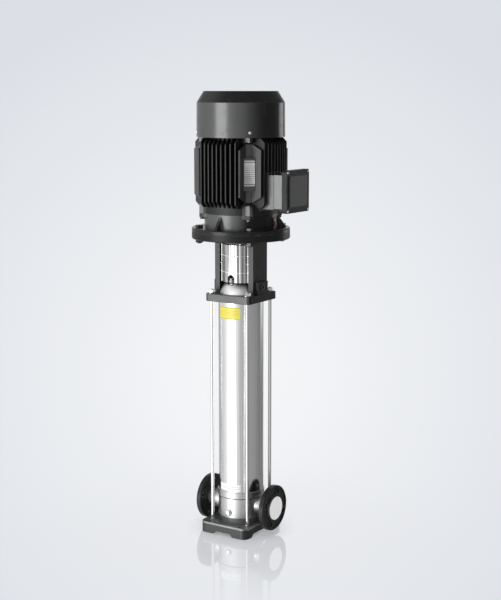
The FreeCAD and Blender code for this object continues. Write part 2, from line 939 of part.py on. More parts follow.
def motor_stool():
    plate = rounded_block(2 * stool_plate_half, 2 * stool_plate_half, stool_plate_corner,
                          stool_plate_bottom, stool_plate_top)
    for level in (stool_plate_bottom, stool_plate_top):
        plate = softened(plate, stool_plate_edge, level)
    flange = turned([
        (0, stool_flange_bottom), (flange_radius - flange_edge_chamfer, stool_flange_bottom),
        (flange_radius, stool_flange_bottom + flange_edge_chamfer), (flange_radius, motor_face),
        (0, motor_face),
    ])
    hub = rod(stool_hub_radius, stool_hub_bottom, stool_flange_bottom + 1)
    lugs = four_ways(guard_lug())
    body = grown(plate, [flange, hub] + mirrored(stool_side()) + lugs)
    room = stool_bore_clearance
    below = stool_plate_bottom - 1
    cuts = [dome_solid(dome_radius + room, dome_skirt_radius + room, dome_flat + room, below)]
    recess_top = sleeve_top + dome_flange_thickness
    cuts.append(rod(sleeve_radius + thread_clearance, below, recess_top))
    cuts.append(rod(stool_opening_radius, stool_hub_bottom - 1, motor_face + 1))
    cuts.append(rod(spigot_radius + thread_clearance, motor_face - spigot_height - 1, motor_face + 1))
    for x, y in stay_places():
        cuts.append(rod(stay_bolt_radius + seat_clearance, below, stool_plate_top + 1, x, y))
    for x, y in flange_places():
        cuts.append(rod(flange_hole_radius, stool_flange_bottom - 1, motor_face + 1, x, y))
    plug_hole = rod_x(stool_plug_radius + thread_clearance, stool_boss_face - stool_plug_depth,
                      stool_boss_face + 1, z=stool_plug_z)
    cuts += mirrored(plug_hole)
    screw = rod_y(guard_screw_radius + thread_clearance, -guard_ear_plane() - 1,
                  -guard_ear_plane() + guard_screw_length, guard_screw_x(), guard_screw_height)
    cuts += four_ways(screw)
    return carved(body, cuts)


def flange_places():
    reach = flange_bolt_circle / 2
    return [(reach * math.cos(math.radians(a)), reach * math.sin(math.radians(a))) for a in CORNER_ANGLES]


def stool_plugs():
    outer = stool_boss_face + stool_plug_height
    plug = rod_x(stool_plug_radius, stool_boss_face - stool_plug_depth, outer, z=stool_plug_z)
    socket = hexagon(stool_plug_socket, -stool_plug_socket_depth, 1)
    socket.rotate(ORIGIN, AXIS_Y, 90)
    socket.translate(FreeCAD.Vector(outer, 0, stool_plug_z))
    return group(mirrored(plug.cut(socket)))


def stay_bolts():
    top = stool_plate_top + stay_washer_thickness + stay_nut_height + stay_end_length
    start = foot_deck_top - stay_thread_depth
    bolts = []
    for x, y in stay_places():
        collar = rod(stay_collar_radius, foot_deck_top, foot_deck_top + stay_collar_height, x, y)
        bolts.append(rod(stay_bolt_radius, start, top, x, y).fuse(collar))
    return group(bolts)


def stay_washers():
    top = stool_plate_top + stay_washer_thickness
    washers = []
    for x, y in stay_places():
        disc = rod(stay_washer_radius, stool_plate_top, top, x, y)
        hole = rod(stay_bolt_radius + seat_clearance, stool_plate_top - 1, top + 1, x, y)
        washers.append(disc.cut(hole))
    return group(washers)


def stay_nuts():
    bottom = stool_plate_top + stay_washer_thickness
    top = bottom + stay_nut_height
    nuts = []
    for x, y in stay_places():
        hole = rod(stay_bolt_radius + thread_clearance, bottom - 1, top + 1, x, y)
        nuts.append(hexagon_head(stay_nut_flats, bottom, top, x, y).cut(hole))
    return group(nuts)


# Coupling guards

def guard_screw_x():
    edge = guard_radius * math.sin(math.radians(guard_half_angle))
    return (edge + stool_wall_inner) / 2


def guard_ridge(rise):
    """A line pressed outwards in the guard's sheet, this far above its lower edge."""
    middle = guard_bottom + rise
    root = guard_radius - guard_sheet / 2
    crest = guard_radius + guard_ridge_height
    section = polygon([(root, 0, middle - guard_ridge_half), (crest, 0, middle - guard_ridge_half / 2),
                       (crest, 0, middle + guard_ridge_half / 2), (root, 0, middle + guard_ridge_half)])
    return spun(section.revolve(ORIGIN, AXIS_Z, 2 * guard_ridge_half_angle), -90 - guard_ridge_half_angle)


def guard():
    start = FreeCAD.Vector(0, 0, guard_bottom)
    wedge = Part.makeCylinder(guard_radius, guard_height, start, AXIS_Z, 2 * guard_half_angle)
    sheet = wedge.cut(rod(guard_radius - guard_sheet, guard_bottom - 1, guard_top + 1))
    sheet = spun(sheet, -90 - guard_half_angle)
    edge = guard_radius * math.sin(math.radians(guard_half_angle)) - guard_sheet
    seat = guard_ear_plane()
    ear = block(edge, stool_wall_inner - seat_clearance, -seat - guard_sheet, -seat, guard_bottom, guard_top)
    ridges = [guard_ridge(guard_ridge_low), guard_ridge(guard_ridge_high)]
    body = fuse([sheet] + mirrored(ear) + ridges)
    half = guard_notch_half_width
    notch = block(-half, half, -guard_radius - 1, 0, guard_bottom - 1, guard_notch_top - half)
    arch = rod_y(half, -guard_radius - 1, 0, z=guard_notch_top - half)
    hole = rod_y(guard_screw_radius + seat_clearance, -seat - guard_sheet - 1, -seat + 1,
                 guard_screw_x(), guard_screw_height)
    return body.cut([notch.fuse(arch)] + mirrored(hole))


def guard_screws():
    face = guard_ear_plane() + guard_sheet
    x = guard_screw_x()
    shank = rod_y(guard_screw_radius, -face, -face + guard_screw_length, x, guard_screw_height)
    head = rod_y(guard_screw_head_radius, -face - guard_screw_head_height, -face, x, guard_screw_height)
    return group(four_ways(shank.fuse(head)))


# Shaft coupling

def coupling_half():
    """The half on the +X side."""
    reach = coupling_radius + 1
    body = rod(coupling_radius, coupling_bottom, coupling_top)
    body = body.common(block(coupling_split / 2, reach, -reach, reach, coupling_bottom, coupling_top))
    seam = (shaft_top + motor_shaft_bottom) / 2
    body = body.cut(rod(shaft_radius, coupling_bottom - 1, seam))
    body = body.cut(rod(motor_shaft_radius, seam, coupling_top + 1))
    for y, z in coupling_screw_places():
        body = body.cut(rod_x(coupling_screw_radius + thread_clearance, 0, coupling_radius, y, z))
        body = body.cut(rod_x(coupling_screw_head_radius + seat_clearance, coupling_seat, reach, y, z))
    return body


def coupling_screw_places():
    heights = (coupling_bottom + coupling_screw_inset, coupling_top - coupling_screw_inset)
    return [(y, z) for y in (-coupling_screw_offset, coupling_screw_offset) for z in heights]


def coupling_screws():
    screws = []
    for y, z in coupling_screw_places():
        shank = rod_x(coupling_screw_radius, -coupling_seat, coupling_seat, y, z)
        head_top = coupling_seat + coupling_screw_head_height
        head = rod_x(coupling_screw_head_radius, coupling_seat, head_top, y, z)
        nut = hexagon_head(coupling_nut_flats, -coupling_screw_head_height, 0)
        nut.rotate(ORIGIN, AXIS_Y, 90)
        nut.translate(FreeCAD.Vector(-coupling_seat, y, z))
        screws.append(fuse([shank, head, nut]))
    return group(screws)


# Flange bolts

def flange_bolts():
    top = motor_face + motor_flange_thickness
    bottom = stool_flange_bottom - flange_nut_height - flange_bolt_end
    bolts = []
    for x, y in flange_places():
        shank = rod(flange_bolt_radius, bottom, top, x, y)
        bolts.append(shank.fuse(hexagon_head(flange_bolt_flats, top, top + flange_bolt_head, x, y)))
    return group(bolts)


def flange_nuts():
    top = stool_flange_bottom
    bottom = top - flange_nut_height
    nuts = []
    for x, y in flange_places():
        hole = rod(flange_bolt_radius + thread_clearance, bottom - 1, top + 1, x, y)
        nuts.append(hexagon_head(flange_bolt_flats, bottom, top, x, y).cut(hole))
    return group(nuts)


# Endshields

def gusset():
    low = motor_face + motor_flange_thickness - 1
    inner = bell_radius - bell_wall / 2
    top = gusset_top
    points = [(inner, 0, low), (gusset_reach, 0, low), (bell_radius - 1, 0, top), (inner, 0, top)]
    plate = polygon(points).extrude(FreeCAD.Vector(0, gusset_thickness, 0))
    plate.translate(FreeCAD.Vector(0, -gusset_thickness / 2, 0))
    return plate


def quarter_turns(shape):
    return around(shape, (0, 90, 180, 270))


def screw_ears():
    ears = quarter_turns(corner_lug(endshield_joint - ear_height, endshield_joint))
    inside = rod(bell_radius - bell_wall / 2, endshield_joint - ear_height - 1, endshield_joint + 1)
    return [ear.cut(inside) for ear in ears]


def drain_pad_placed(shape):
    return spun(shape, drain_pad_turn)


def drain_pad():
    """The upright pad on the bell that carries the drain stopper."""
    half = drain_pad_width / 2
    pad = block(bell_radius - bell_wall / 2, drain_pad_reach, -half, half,
                motor_face + motor_flange_thickness - 1, endshield_joint - ear_height)
    return drain_pad_placed(pad)


def drain_stopper():
    inner = bell_radius - bell_wall + drain_stopper_inset
    outer = drain_pad_reach + drain_stopper_head
    shank = rod_x(drain_stopper_radius, inner, drain_pad_reach, z=drain_stopper_z)
    head = rod_x(drain_stopper_head_radius, drain_pad_reach, outer, z=drain_stopper_z)
    return drain_pad_placed(shank.fuse(head))


def drive_endshield():
    flange_top = motor_face + motor_flange_thickness
    bearing_top = drive_bearing_bottom + bearing_width
    seat = bearing_outer_radius + running_clearance
    body = turned([
        (endshield_bore_radius, motor_face - spigot_height), (spigot_radius, motor_face - spigot_height),
        (spigot_radius, motor_face), (flange_radius, motor_face),
        (flange_radius, flange_top - flange_edge_chamfer), (flange_radius - flange_edge_chamfer, flange_top),
        (bell_radius, flange_top), (bell_radius, endshield_joint),
        (bell_radius - bell_wall, endshield_joint), (bell_radius - bell_wall, flange_top),
        (bearing_hub_radius, flange_top), (bearing_hub_radius, bearing_top), (seat, bearing_top),
        (seat, drive_bearing_bottom), (endshield_bore_radius, drive_bearing_bottom),
    ])
    gussets = around(gusset(), [gusset_turn + k * 360 / gusset_count for k in range(gusset_count)])
    body = fuse([body, drain_pad()] + gussets + screw_ears())
    cuts = [rod(flange_hole_radius, motor_face - 1, flange_top + 1, x, y) for x, y in flange_places()]
    cuts += [rod(endshield_screw_radius + seat_clearance, endshield_joint - ear_height - 1,
                 endshield_joint + 1, x, y) for x, y in endshield_screw_places()]
    hole = rod_x(drain_stopper_radius + thread_clearance, bell_radius - 2 * bell_wall, drain_pad_reach + 1,
                 z=drain_stopper_z)
    cuts.append(drain_pad_placed(hole))
    return body.cut(cuts)


def endshield_screw_places():
    place = bell_radius + endshield_screw_flats / math.sqrt(3) + seat_clearance
    return [(place * math.cos(math.radians(a)), place * math.sin(math.radians(a))) for a in CORNER_ANGLES]


def endshield_screws():
    head_top = endshield_joint - ear_height
    screws = []
    for x, y in endshield_screw_places():
        shank = rod(endshield_screw_radius, head_top, head_top + endshield_screw_length, x, y)
        head = hexagon_head(endshield_screw_flats, head_top - endshield_screw_head, head_top, x, y)
        screws.append(shank.fuse(head))
    return group(screws)


def cowl_seat_radius():
    """The radius that the cowl's arms reach, just inside the cowl's tapered wall."""
    return cowl_radius - cowl_sheet - seat_clearance


def cowl_arm():
    bottom = cowl_screw_height - cowl_arm_height / 2
    arm = block(housing_ring_radius - cowl_arm_overlap, cowl_radius, -cowl_arm_half_width, cowl_arm_half_width,
                housing_top, bottom + cowl_arm_height)
    return arm.common(rod(cowl_seat_radius(), housing_top, bottom + cowl_arm_height))


def fan_endshield():
    bearing_top = fan_bearing_bottom + bearing_width
    seat = bearing_outer_radius + running_clearance
    body = turned([
        (seat, fan_bearing_bottom), (bearing_hub_radius, fan_bearing_bottom),
        (bearing_hub_radius, housing_top), (housing_ring_radius, housing_top),
        (housing_ring_radius, fan_endshield_top), (endshield_bore_radius, fan_endshield_top),
        (endshield_bore_radius, bearing_top), (seat, bearing_top),
    ])
    body = grown(body, around(cowl_arm(), CORNER_ANGLES))
    hole = rod_x(cowl_screw_radius + thread_clearance, cowl_radius - cowl_screw_length - 1, cowl_radius,
                 z=cowl_screw_height)
    return carved(body, around(hole, CORNER_ANGLES))


# Motor housing

def fin_tip(offset):
    """How far a fin at this sideways offset reaches from the shaft: the tips lie on a flat arc."""
    return fin_reach - fin_arc_radius + math.sqrt(fin_arc_radius ** 2 - offset ** 2)


def fin(offset):
    """One upright fin on the +X face, at a sideways offset along y."""
    tip = fin_tip(offset)
    slope = tip - housing_ring_radius
    points = [
        (fin_root, offset, fin_bottom), (housing_ring_radius, offset, fin_bottom),
        (tip, offset, fin_bottom + slope), (tip, offset, fin_top - slope),
        (housing_ring_radius, offset, fin_top), (fin_root, offset, fin_top),
    ]
    plate = polygon(points).extrude(FreeCAD.Vector(0, fin_thickness, 0))
    plate.translate(FreeCAD.Vector(0, -fin_thickness / 2, 0))
    return plate


def fin_face():
    offsets = [(k - (fin_count - 1) / 2) * fin_pitch for k in range(fin_count)]
    return [fin(offset) for offset in offsets]


def web():
    """The plate beside a bare corner, on the +X face at the -Y end."""
    points = [
        (fin_root, -web_plane, web_bottom), (web_root, -web_plane, web_bottom),
        (web_reach, -web_plane, web_bottom + web_chamfer), (web_reach, -web_plane, web_top - web_chamfer),
        (web_root, -web_plane, web_top), (fin_root, -web_plane, web_top),
    ]
    return polygon(points).extrude(FreeCAD.Vector(0, web_thickness, 0))


def corner_block():
    """The 45 degree strip between two webs, at the +X -Y corner."""
    inner = web_plane - web_thickness
    outer = web_root
    corners = [(inner, inner), (inner, outer), (web_plane, outer), (outer, web_plane), (outer, inner)]
    points = [(x, -y, web_bottom) for x, y in corners]
    return polygon(points).extrude(FreeCAD.Vector(0, 0, web_top - web_bottom))


def corner_lug(bottom, top):
    inner = lug_reach - lug_length
    return block(inner, lug_reach, -lug_reach, -inner, bottom, top)


def terminal_pad():
    return block(pad_root, pad_face, -pad_half_width, pad_half_width, pad_bottom, pad_top)


def motor_housing():
    barrel = turned([
        (housing_bore_radius, endshield_joint), (housing_ring_radius, endshield_joint),
        (housing_ring_radius, housing_ring_top), (housing_radius, housing_ring_top),
        (housing_radius, housing_top_ring), (housing_top_ring_radius, housing_top_ring),
        (housing_top_ring_radius, housing_top), (housing_bore_radius, housing_top),
    ])
    webs = [web(), web().mirror(ORIGIN, AXIS_Y)]
    lugs = [corner_lug(endshield_joint, lug_top), corner_lug(upper_lug_bottom, housing_top)]
    quarter = fin_face() + webs + [corner_block()] + lugs
    ribs = [turn for piece in quarter for turn in quarter_turns(piece)]
    body = fuse([barrel, terminal_pad(), nameplate_pad()] + ribs)
    cuts = [rod(housing_bore_radius, endshield_joint - 1, housing_top + 1)]
    depth = endshield_joint - ear_height + endshield_screw_length
    cuts += [rod(endshield_screw_radius + thread_clearance, endshield_joint - 1, depth + 1, x, y)
             for x, y in endshield_screw_places()]
    return carved(body, cuts)


def nameplate_pad():
    half = nameplate_pad_width / 2
    pad = block(housing_radius - 1, nameplate_face, -half, half, nameplate_pad_bottom, nameplate_pad_top)
    return spun(pad, -45)


def nameplate():
    half = nameplate_width / 2
    plate = block(nameplate_face, nameplate_face + nameplate_thickness, -half, half,
                  nameplate_bottom, nameplate_top)
    return spun(plate, -45)


# Motor inside

def stator():
    return turned([
        (stator_bore_radius, stator_bottom), (housing_bore_radius, stator_bottom),
        (housing_bore_radius, stator_top), (stator_bore_radius, stator_top),
    ])


def rotor_core():
    return ring(stator_bore_radius - air_gap, motor_shaft_body_radius, rotor_bottom, rotor_top)


def motor_shaft():
    bearing_top = drive_bearing_bottom + bearing_width
    journal = bearing_bore_radius - running_clearance
    return turned([
        (0, motor_shaft_bottom), (motor_shaft_radius, motor_shaft_bottom), (motor_shaft_radius, motor_face),
        (journal, motor_face), (journal, bearing_top + seat_clearance),
        (motor_shaft_body_radius, bearing_top + seat_clearance),
        (motor_shaft_body_radius, fan_bearing_bottom - seat_clearance),
        (journal, fan_bearing_bottom - seat_clearance), (journal, fan_bearing_bottom + bearing_width),
        (motor_shaft_radius, fan_bearing_bottom + bearing_width), (motor_shaft_radius, motor_shaft_top),
        (0, motor_shaft_top),
    ])


def ball_bearing(bottom):
    return ring(bearing_outer_radius, bearing_bore_radius, bottom, bottom + bearing_width)


# Fan and cowl

def fan():
    top = fan_bottom + fan_height
    hub = ring(fan_hub_radius, motor_shaft_radius, fan_bottom, top)
    disc = ring(fan_disc_radius, fan_hub_radius - 1, fan_bottom, fan_bottom + fan_plate)
    half = fan_blade_thickness / 2
    blade = block(fan_hub_radius - 1, fan_radius, -half, half, fan_bottom, top)
    blades = around(blade, [k * 360 / fan_blade_count for k in range(fan_blade_count)])
    return fuse([hub, disc] + blades)


def grille_slot(inner, outer):
    half = math.pi / grille_slots
    inner_half = math.asin(grille_bar / 2 / inner)
    outer_half = math.asin(grille_bar / 2 / outer)
    low, high = cowl_top - 2 * cowl_sheet, cowl_top + 1
    points = []
    for radius, angle in ((inner, -half + inner_half), (outer, -half + outer_half),
                          (outer, half - outer_half), (inner, half - inner_half)):
        points.append((radius * math.cos(angle), radius * math.sin(angle), low))
    return polygon(points).extrude(FreeCAD.Vector(0, 0, high - low))


def grille():
    step = (grille_outer_radius - grille_inner_radius) / grille_rings
    slots = []
    for k in range(grille_rings):
        inner = grille_inner_radius + k * step
        slot = grille_slot(inner, inner + step - grille_bar)
        slots += around(slot, [n * 360 / grille_slots for n in range(grille_slots)])
    return slots


def fan_cowl():
    body = turned([
        (0, cowl_top - cowl_sheet), (cowl_rim_radius - cowl_sheet, cowl_top - cowl_sheet),
        (cowl_shoulder_radius - cowl_sheet, cowl_shoulder - cowl_shoulder_drop),
        (cowl_radius - cowl_sheet, cowl_bottom), (cowl_radius, cowl_bottom),
        (cowl_shoulder_radius, cowl_shoulder), (cowl_rim_radius, cowl_top), (0, cowl_top),
    ])
    hole = rod_x(cowl_screw_radius + seat_clearance, cowl_radius - 2 * cowl_sheet, cowl_radius + 1,
                 z=cowl_screw_height)
    return body.cut(grille() + around(hole, CORNER_ANGLES))


def cowl_screws():
    z = cowl_screw_height
    shank = rod_x(cowl_screw_radius, cowl_radius - cowl_screw_length, cowl_radius, z=z)
    head = rod_x(cowl_screw_head_radius, cowl_radius, cowl_radius + cowl_screw_head_height, z=z)
    return group(around(shank.fuse(head), CORNER_ANGLES))


# Terminal box

def terminal_gasket():
    front = pad_face + gasket_thickness
    half = pad_half_width - gasket_inset
    plate = block(pad_face, front, -half, half, pad_bottom + gasket_inset, pad_top - gasket_inset)
    return plate.cut(block(pad_face - 1, front + 1, -board_width / 2, board_width / 2,
                           middle_z() - board_height / 2, middle_z() + board_height / 2))


def middle_z():
    return (pad_bottom + pad_top) / 2


def terminal_box():
    back = pad_face + gasket_thickness
    body = block(back, box_face, -box_half_width, box_half_width, box_bottom, box_top)
    room = block(back + box_wall, box_face + 1, -box_half_width + box_wall, box_half_width - box_wall,
                 box_bottom + box_wall, box_top - box_wall)
    half_y = board_width / 2 - board_window_inset
    half_z = board_height / 2 - board_window_inset
    window = block(back - 1, back + box_wall + 1, -half_y, half_y, middle_z() - half_z, middle_z() + half_z)
    entry = rod_y(gland_radius + thread_clearance, box_half_width - box_wall - 1, box_half_width + 1,
                  gland_x, middle_z())
    return body.cut(room).cut(window).cut(entry)


def lid_plate(half, bottom, top, x0, x1):
    plate = block(x0, x1, -half, half, bottom, top)
    along = [e for e in plate.Edges if abs(e.tangentAt(e.FirstParameter).x) > 0.9]
    return plate.makeFillet(lid_corner_radius, along)


def lid_screw_places():
    reach = lid_half_width - lid_screw_inset
    heights = (lid_bottom + lid_screw_inset, lid_top - lid_screw_inset)
    return [(y, z) for y in (-reach, reach) for z in heights]


def terminal_lid():
    plate = lid_plate(lid_half_width, lid_bottom, lid_top, box_face, lid_face)
    inset = lid_panel_inset
    panel = block(lid_face, lid_face + lid_panel_height, -lid_half_width + inset, lid_half_width - inset,
                  lid_bottom + inset, lid_top - inset)
    room = block(box_face - 1, lid_face - box_wall, -box_half_width + box_wall, box_half_width - box_wall,
                 box_bottom + box_wall, box_top - box_wall)
    body = fuse([plate, panel]).cut(room)
    return body.cut([rod_x(lid_screw_radius + seat_clearance, box_face - 1, lid_face + 1, y, z)
                     for y, z in lid_screw_places()])


def lid_screws():
    screws = []
    for y, z in lid_screw_places():
        shank = rod_x(lid_screw_radius, box_face - lid_screw_grip, lid_face, y, z)
        head = rod_x(lid_screw_head_radius, lid_face, lid_face + lid_screw_head_height, y, z)
        screws.append(shank.fuse(head))
    return group(screws)


def terminal_board():
    back = pad_face + gasket_thickness + box_wall
    board = block(back, back + board_thickness, -board_width / 2, board_width / 2,
                  middle_z() - board_height / 2, middle_z() + board_height / 2)
    front = back + board_thickness
    posts = []
    for y in (-1, 0, 1):
        for z in (-1, 1):
            posts.append(rod_x(board_post_radius, front - 1, front + board_post_height,
                               y * board_post_pitch_y, middle_z() + z * board_post_pitch_z / 2))
    return fuse([board] + posts)


def cable_gland():
    """The gland in the box's +Y wall, seen from behind the pump."""
    side = box_half_width
    nut = hexagon_head(gland_flats, 0, gland_nut_height)
    dome = rod(gland_dome_radius, gland_nut_height, gland_length)
    thread = rod(gland_radius, -gland_thread_length, 0)
    bore = rod(gland_radius - gland_wall, -gland_thread_length - 1, gland_length + 1)
    gland = fuse([nut, dome, thread]).cut(bore)
    gland.rotate(ORIGIN, AXIS_X, -90)
    gland.translate(FreeCAD.Vector(gland_x, side, middle_z()))
    return gland


def nodes():
    pieces = {
        "base_plate": base_plate(),
        "base_chamber": base_chamber(),
        "suction_duct": suction_duct(),
        "outlet_neck": outlet_neck(),
        "inlet_neck": inlet_neck(),
        "outlet_flange": port_flange(),
        "inlet_flange": port_flange().mirror(ORIGIN, AXIS_X),
        "outlet_cover": port_cover(),
        "inlet_cover": spun(port_cover(), 180),
        "drain_plug": drain_plug(),
        "outer_sleeve": outer_sleeve(),
        "sleeve_orings": sleeve_orings(),
        "sleeve_label": curved_label(sleeve_label_width, sleeve_label_bottom, sleeve_label_top),
        "lower_label": curved_label(lower_label_width, lower_label_bottom, lower_label_top),
        "stage_chambers": group([stage_chamber(k) for k in range(stage_count)]),
        "impellers": group([impeller(k) for k in range(stage_count)]),
        "stage_straps": stage_straps(),
        "pump_shaft": pump_shaft(),
        "bottom_bush": bottom_bush(),
        "head_cover": head_cover(),
        "vent_plug": vent_plug(),
        "vent_spindle": vent_spindle(),
        "shaft_seal": shaft_seal(),
        "seal_ring": seal_ring(),
        "motor_stool": motor_stool(),
        "stool_plugs": stool_plugs(),
        "stay_bolts": stay_bolts(),
        "stay_washers": stay_washers(),
        "stay_nuts": stay_nuts(),
        "guard_front": guard(),
        "guard_rear": spun(guard(), 180),
        "guard_screws": guard_screws(),
        "coupling_half_outlet": coupling_half(),
        "coupling_half_inlet": spun(coupling_half(), 180),
        "coupling_screws": coupling_screws(),
        "flange_bolts": flange_bolts(),
        "flange_nuts": flange_nuts(),
        "drive_endshield": drive_endshield(),
        "drain_stopper": drain_stopper(),
        "endshield_screws": endshield_screws(),
        "fan_endshield": fan_endshield(),
        "motor_housing": motor_housing(),
        "nameplate": nameplate(),
        "stator": stator(),
        "rotor_core": rotor_core(),
        "motor_shaft": motor_shaft(),
        "drive_bearing": ball_bearing(drive_bearing_bottom),
        "fan_bearing": ball_bearing(fan_bearing_bottom),
        "fan": fan(),
        "fan_cowl": fan_cowl(),
        "cowl_screws": cowl_screws(),
        "terminal_gasket": terminal_gasket(),
        "terminal_box": terminal_box(),
        "terminal_lid": terminal_lid(),
        "lid_screws": lid_screws(),
        "terminal_board": terminal_board(),
        "cable_gland": cable_gland(),
    }
    return pieces


os.makedirs("parts", exist_ok=True)
for name, shape in nodes().items():
    shape.exportStep("parts/" + name + ".step")
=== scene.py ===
import json
import math

import bmesh
import bpy
from mathutils import Matrix, Vector


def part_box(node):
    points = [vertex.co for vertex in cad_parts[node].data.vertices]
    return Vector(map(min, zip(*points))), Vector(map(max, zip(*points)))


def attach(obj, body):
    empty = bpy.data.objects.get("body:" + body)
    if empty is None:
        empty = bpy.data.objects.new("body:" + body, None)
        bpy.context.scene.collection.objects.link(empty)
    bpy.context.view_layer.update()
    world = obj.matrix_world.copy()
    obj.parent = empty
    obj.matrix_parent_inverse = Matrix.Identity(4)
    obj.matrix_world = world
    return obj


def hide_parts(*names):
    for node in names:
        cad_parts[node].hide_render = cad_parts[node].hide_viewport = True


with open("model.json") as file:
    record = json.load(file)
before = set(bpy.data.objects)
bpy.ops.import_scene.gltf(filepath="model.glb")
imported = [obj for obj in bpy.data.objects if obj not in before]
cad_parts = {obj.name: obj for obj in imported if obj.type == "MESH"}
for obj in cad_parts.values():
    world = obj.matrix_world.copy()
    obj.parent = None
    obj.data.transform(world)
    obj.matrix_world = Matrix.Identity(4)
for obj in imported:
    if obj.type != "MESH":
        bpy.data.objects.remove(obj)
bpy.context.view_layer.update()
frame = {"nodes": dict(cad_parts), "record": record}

# Looks of the vertical multistage pump, in metres. The floor is z = 0 and the pump shaft is the z
# axis. The outlet port and the terminal box face +x, the drain plug, vent plug and labels -y.

scene = bpy.context.scene

MM = 0.001
FULL = 2 * math.pi
CORNERS = [(k + 0.5) * FULL / 4 for k in range(4)]


# Shader maths

class Wire:
    """One output of a shader node, with arithmetic on it."""

    def __init__(self, shader, socket):
        self.shader = shader
        self.socket = socket

    def math(self, operation, *values):
        return self.shader.maths(operation, self, *values)

    def __add__(self, other):
        return self.math("ADD", other)

    def __sub__(self, other):
        return self.math("SUBTRACT", other)

    def __rsub__(self, other):
        return self.shader.maths("SUBTRACT", other, self)

    def __mul__(self, other):
        return self.math("MULTIPLY", other)

    def __truediv__(self, other):
        return self.math("DIVIDE", other)

    def __abs__(self):
        return self.math("ABSOLUTE")

    __radd__ = __add__
    __rmul__ = __mul__

    def near(self, value, reach):
        """1 within this reach of the value, and 0 beyond it."""
        return self.math("COMPARE", value, reach)

    def above(self, low, high):
        """0 below low and 1 above high, smoothly between."""
        inputs = {"Value": self, "From Min": low, "From Max": high, "To Min": 0.0, "To Max": 1.0}
        return self.shader.node("ShaderNodeMapRange", {"interpolation_type": "SMOOTHSTEP"}, inputs)

    def below(self, low, high):
        """1 below low and 0 above high, smoothly between."""
        return 1.0 - self.above(low, high)


class Shader:
    """The nodes of a material or a world, up to its surface."""

    def __init__(self, owner, surface, output):
        owner.use_nodes = True
        self.tree = owner.node_tree
        self.tree.nodes.clear()
        self.surface = self.tree.nodes.new(surface)
        self.output = self.tree.nodes.new(output)
        self.tree.links.new(self.surface.outputs[0], self.output.inputs[0])

    def node(self, kind, settings=None, inputs=None, output=0):
        """A node of this kind, with its sockets given by identifier, name or number."""
        made = self.tree.nodes.new(kind)
        for key, value in (settings or {}).items():
            setattr(made, key, value)
        for key, value in (inputs or {}).items():
            self.feed(self.find(made.inputs, key), value)
        return Wire(self, self.find(made.outputs, output))

    def find(self, sockets, key):
        if isinstance(key, int):
            return sockets[key]
        for socket in sockets:
            if socket.identifier == key:
                return socket
        return sockets[key]

    def feed(self, socket, value):
        if isinstance(value, Wire):
            self.tree.links.new(value.socket, socket)
        else:
            socket.default_value = value

    def maths(self, operation, *values):
        return self.node("ShaderNodeMath", {"operation": operation}, dict(enumerate(values)))

    def blend(self, factor, low, high, kind="MIX"):
        inputs = {"Factor_Float": factor, "A_Color": low, "B_Color": high}
        settings = {"data_type": "RGBA", "blend_type": kind}
        return self.node("ShaderNodeMix", settings, inputs, "Result_Color")


class Finish(Shader):
    """A procedural material with a Principled surface."""

    def __init__(self, name):
        self.material = bpy.data.materials.new(name)
        super().__init__(self.material, "ShaderNodeBsdfPrincipled", "ShaderNodeOutputMaterial")

    def set(self, **inputs):
        for key, value in inputs.items():
            self.feed(self.find(self.surface.inputs, key.replace("_", " ")), value)
        return self.material

    def place(self, scale=(1, 1, 1)):
        at = self.node("ShaderNodeTexCoord", output="Object")
        return self.node("ShaderNodeMapping", {}, {"Vector": at, "Scale": scale})

    def part(self, axis):
        return self.node("ShaderNodeSeparateXYZ", {}, {0: self.place()}, axis)

    def reach(self, scale=(1, 1, 1)):
        """Distance from the middle of the foot, on the floor."""
        settings = {"operation": "LENGTH"}
        return self.node("ShaderNodeVectorMath", settings, {0: self.place(scale)}, "Value")

    def radius(self):
        """Distance from the pump shaft."""
        return self.reach((1, 1, 0))

    def noise(self, scale, detail=2.0, stretch=(1, 1, 1), roughness=0.5):
        """Noise with about this many lumps in a metre."""
        inputs = {"Vector": self.place(stretch), "Scale": scale, "Detail": detail,
                  "Roughness": roughness}
        return self.node("ShaderNodeTexNoise", {}, inputs, "Fac")

    def rounded(self, radius):
        """The normal as if sharp edges were rounded to this radius."""
        return self.node("ShaderNodeBevel", {"samples": 6}, {"Radius": radius})

    def edges(self, radius):
        """1 on sharp edges, 0 on flat faces."""
        soft = self.rounded(radius)
        flat = self.node("ShaderNodeNewGeometry", {}, {}, "Normal")
        settings = {"operation": "DOT_PRODUCT"}
        match = self.node("ShaderNodeVectorMath", settings, {0: soft, 1: flat}, "Value")
        return (1.0 - match).above(0.03, 0.25)

    def bump(self, height, distance, strength, base):
        """The base normal with a relief of this depth on it."""
        inputs = {"Height": height, "Distance": distance, "Strength": strength, "Normal": base}
        return self.node("ShaderNodeBump", {}, inputs)


def grey(value, tint=(1.0, 1.0, 1.0)):
    return (value * tint[0], value * tint[1], value * tint[2], 1.0)


def darker(colour, share):
    return tuple(share * c for c in colour[:3]) + (1.0,)


# Kinds of finish

COOL = (0.98, 1.0, 1.01)
WARM = (1.1, 0.86, 0.5)
DUST_GREY = 0.05
# Grey that the lighter edges turn to: partly wear, partly painted edge highlight.
EDGE_WEAR_AND_HIGHLIGHT_GREY = 0.16
WEAR_SCALE = 60.0


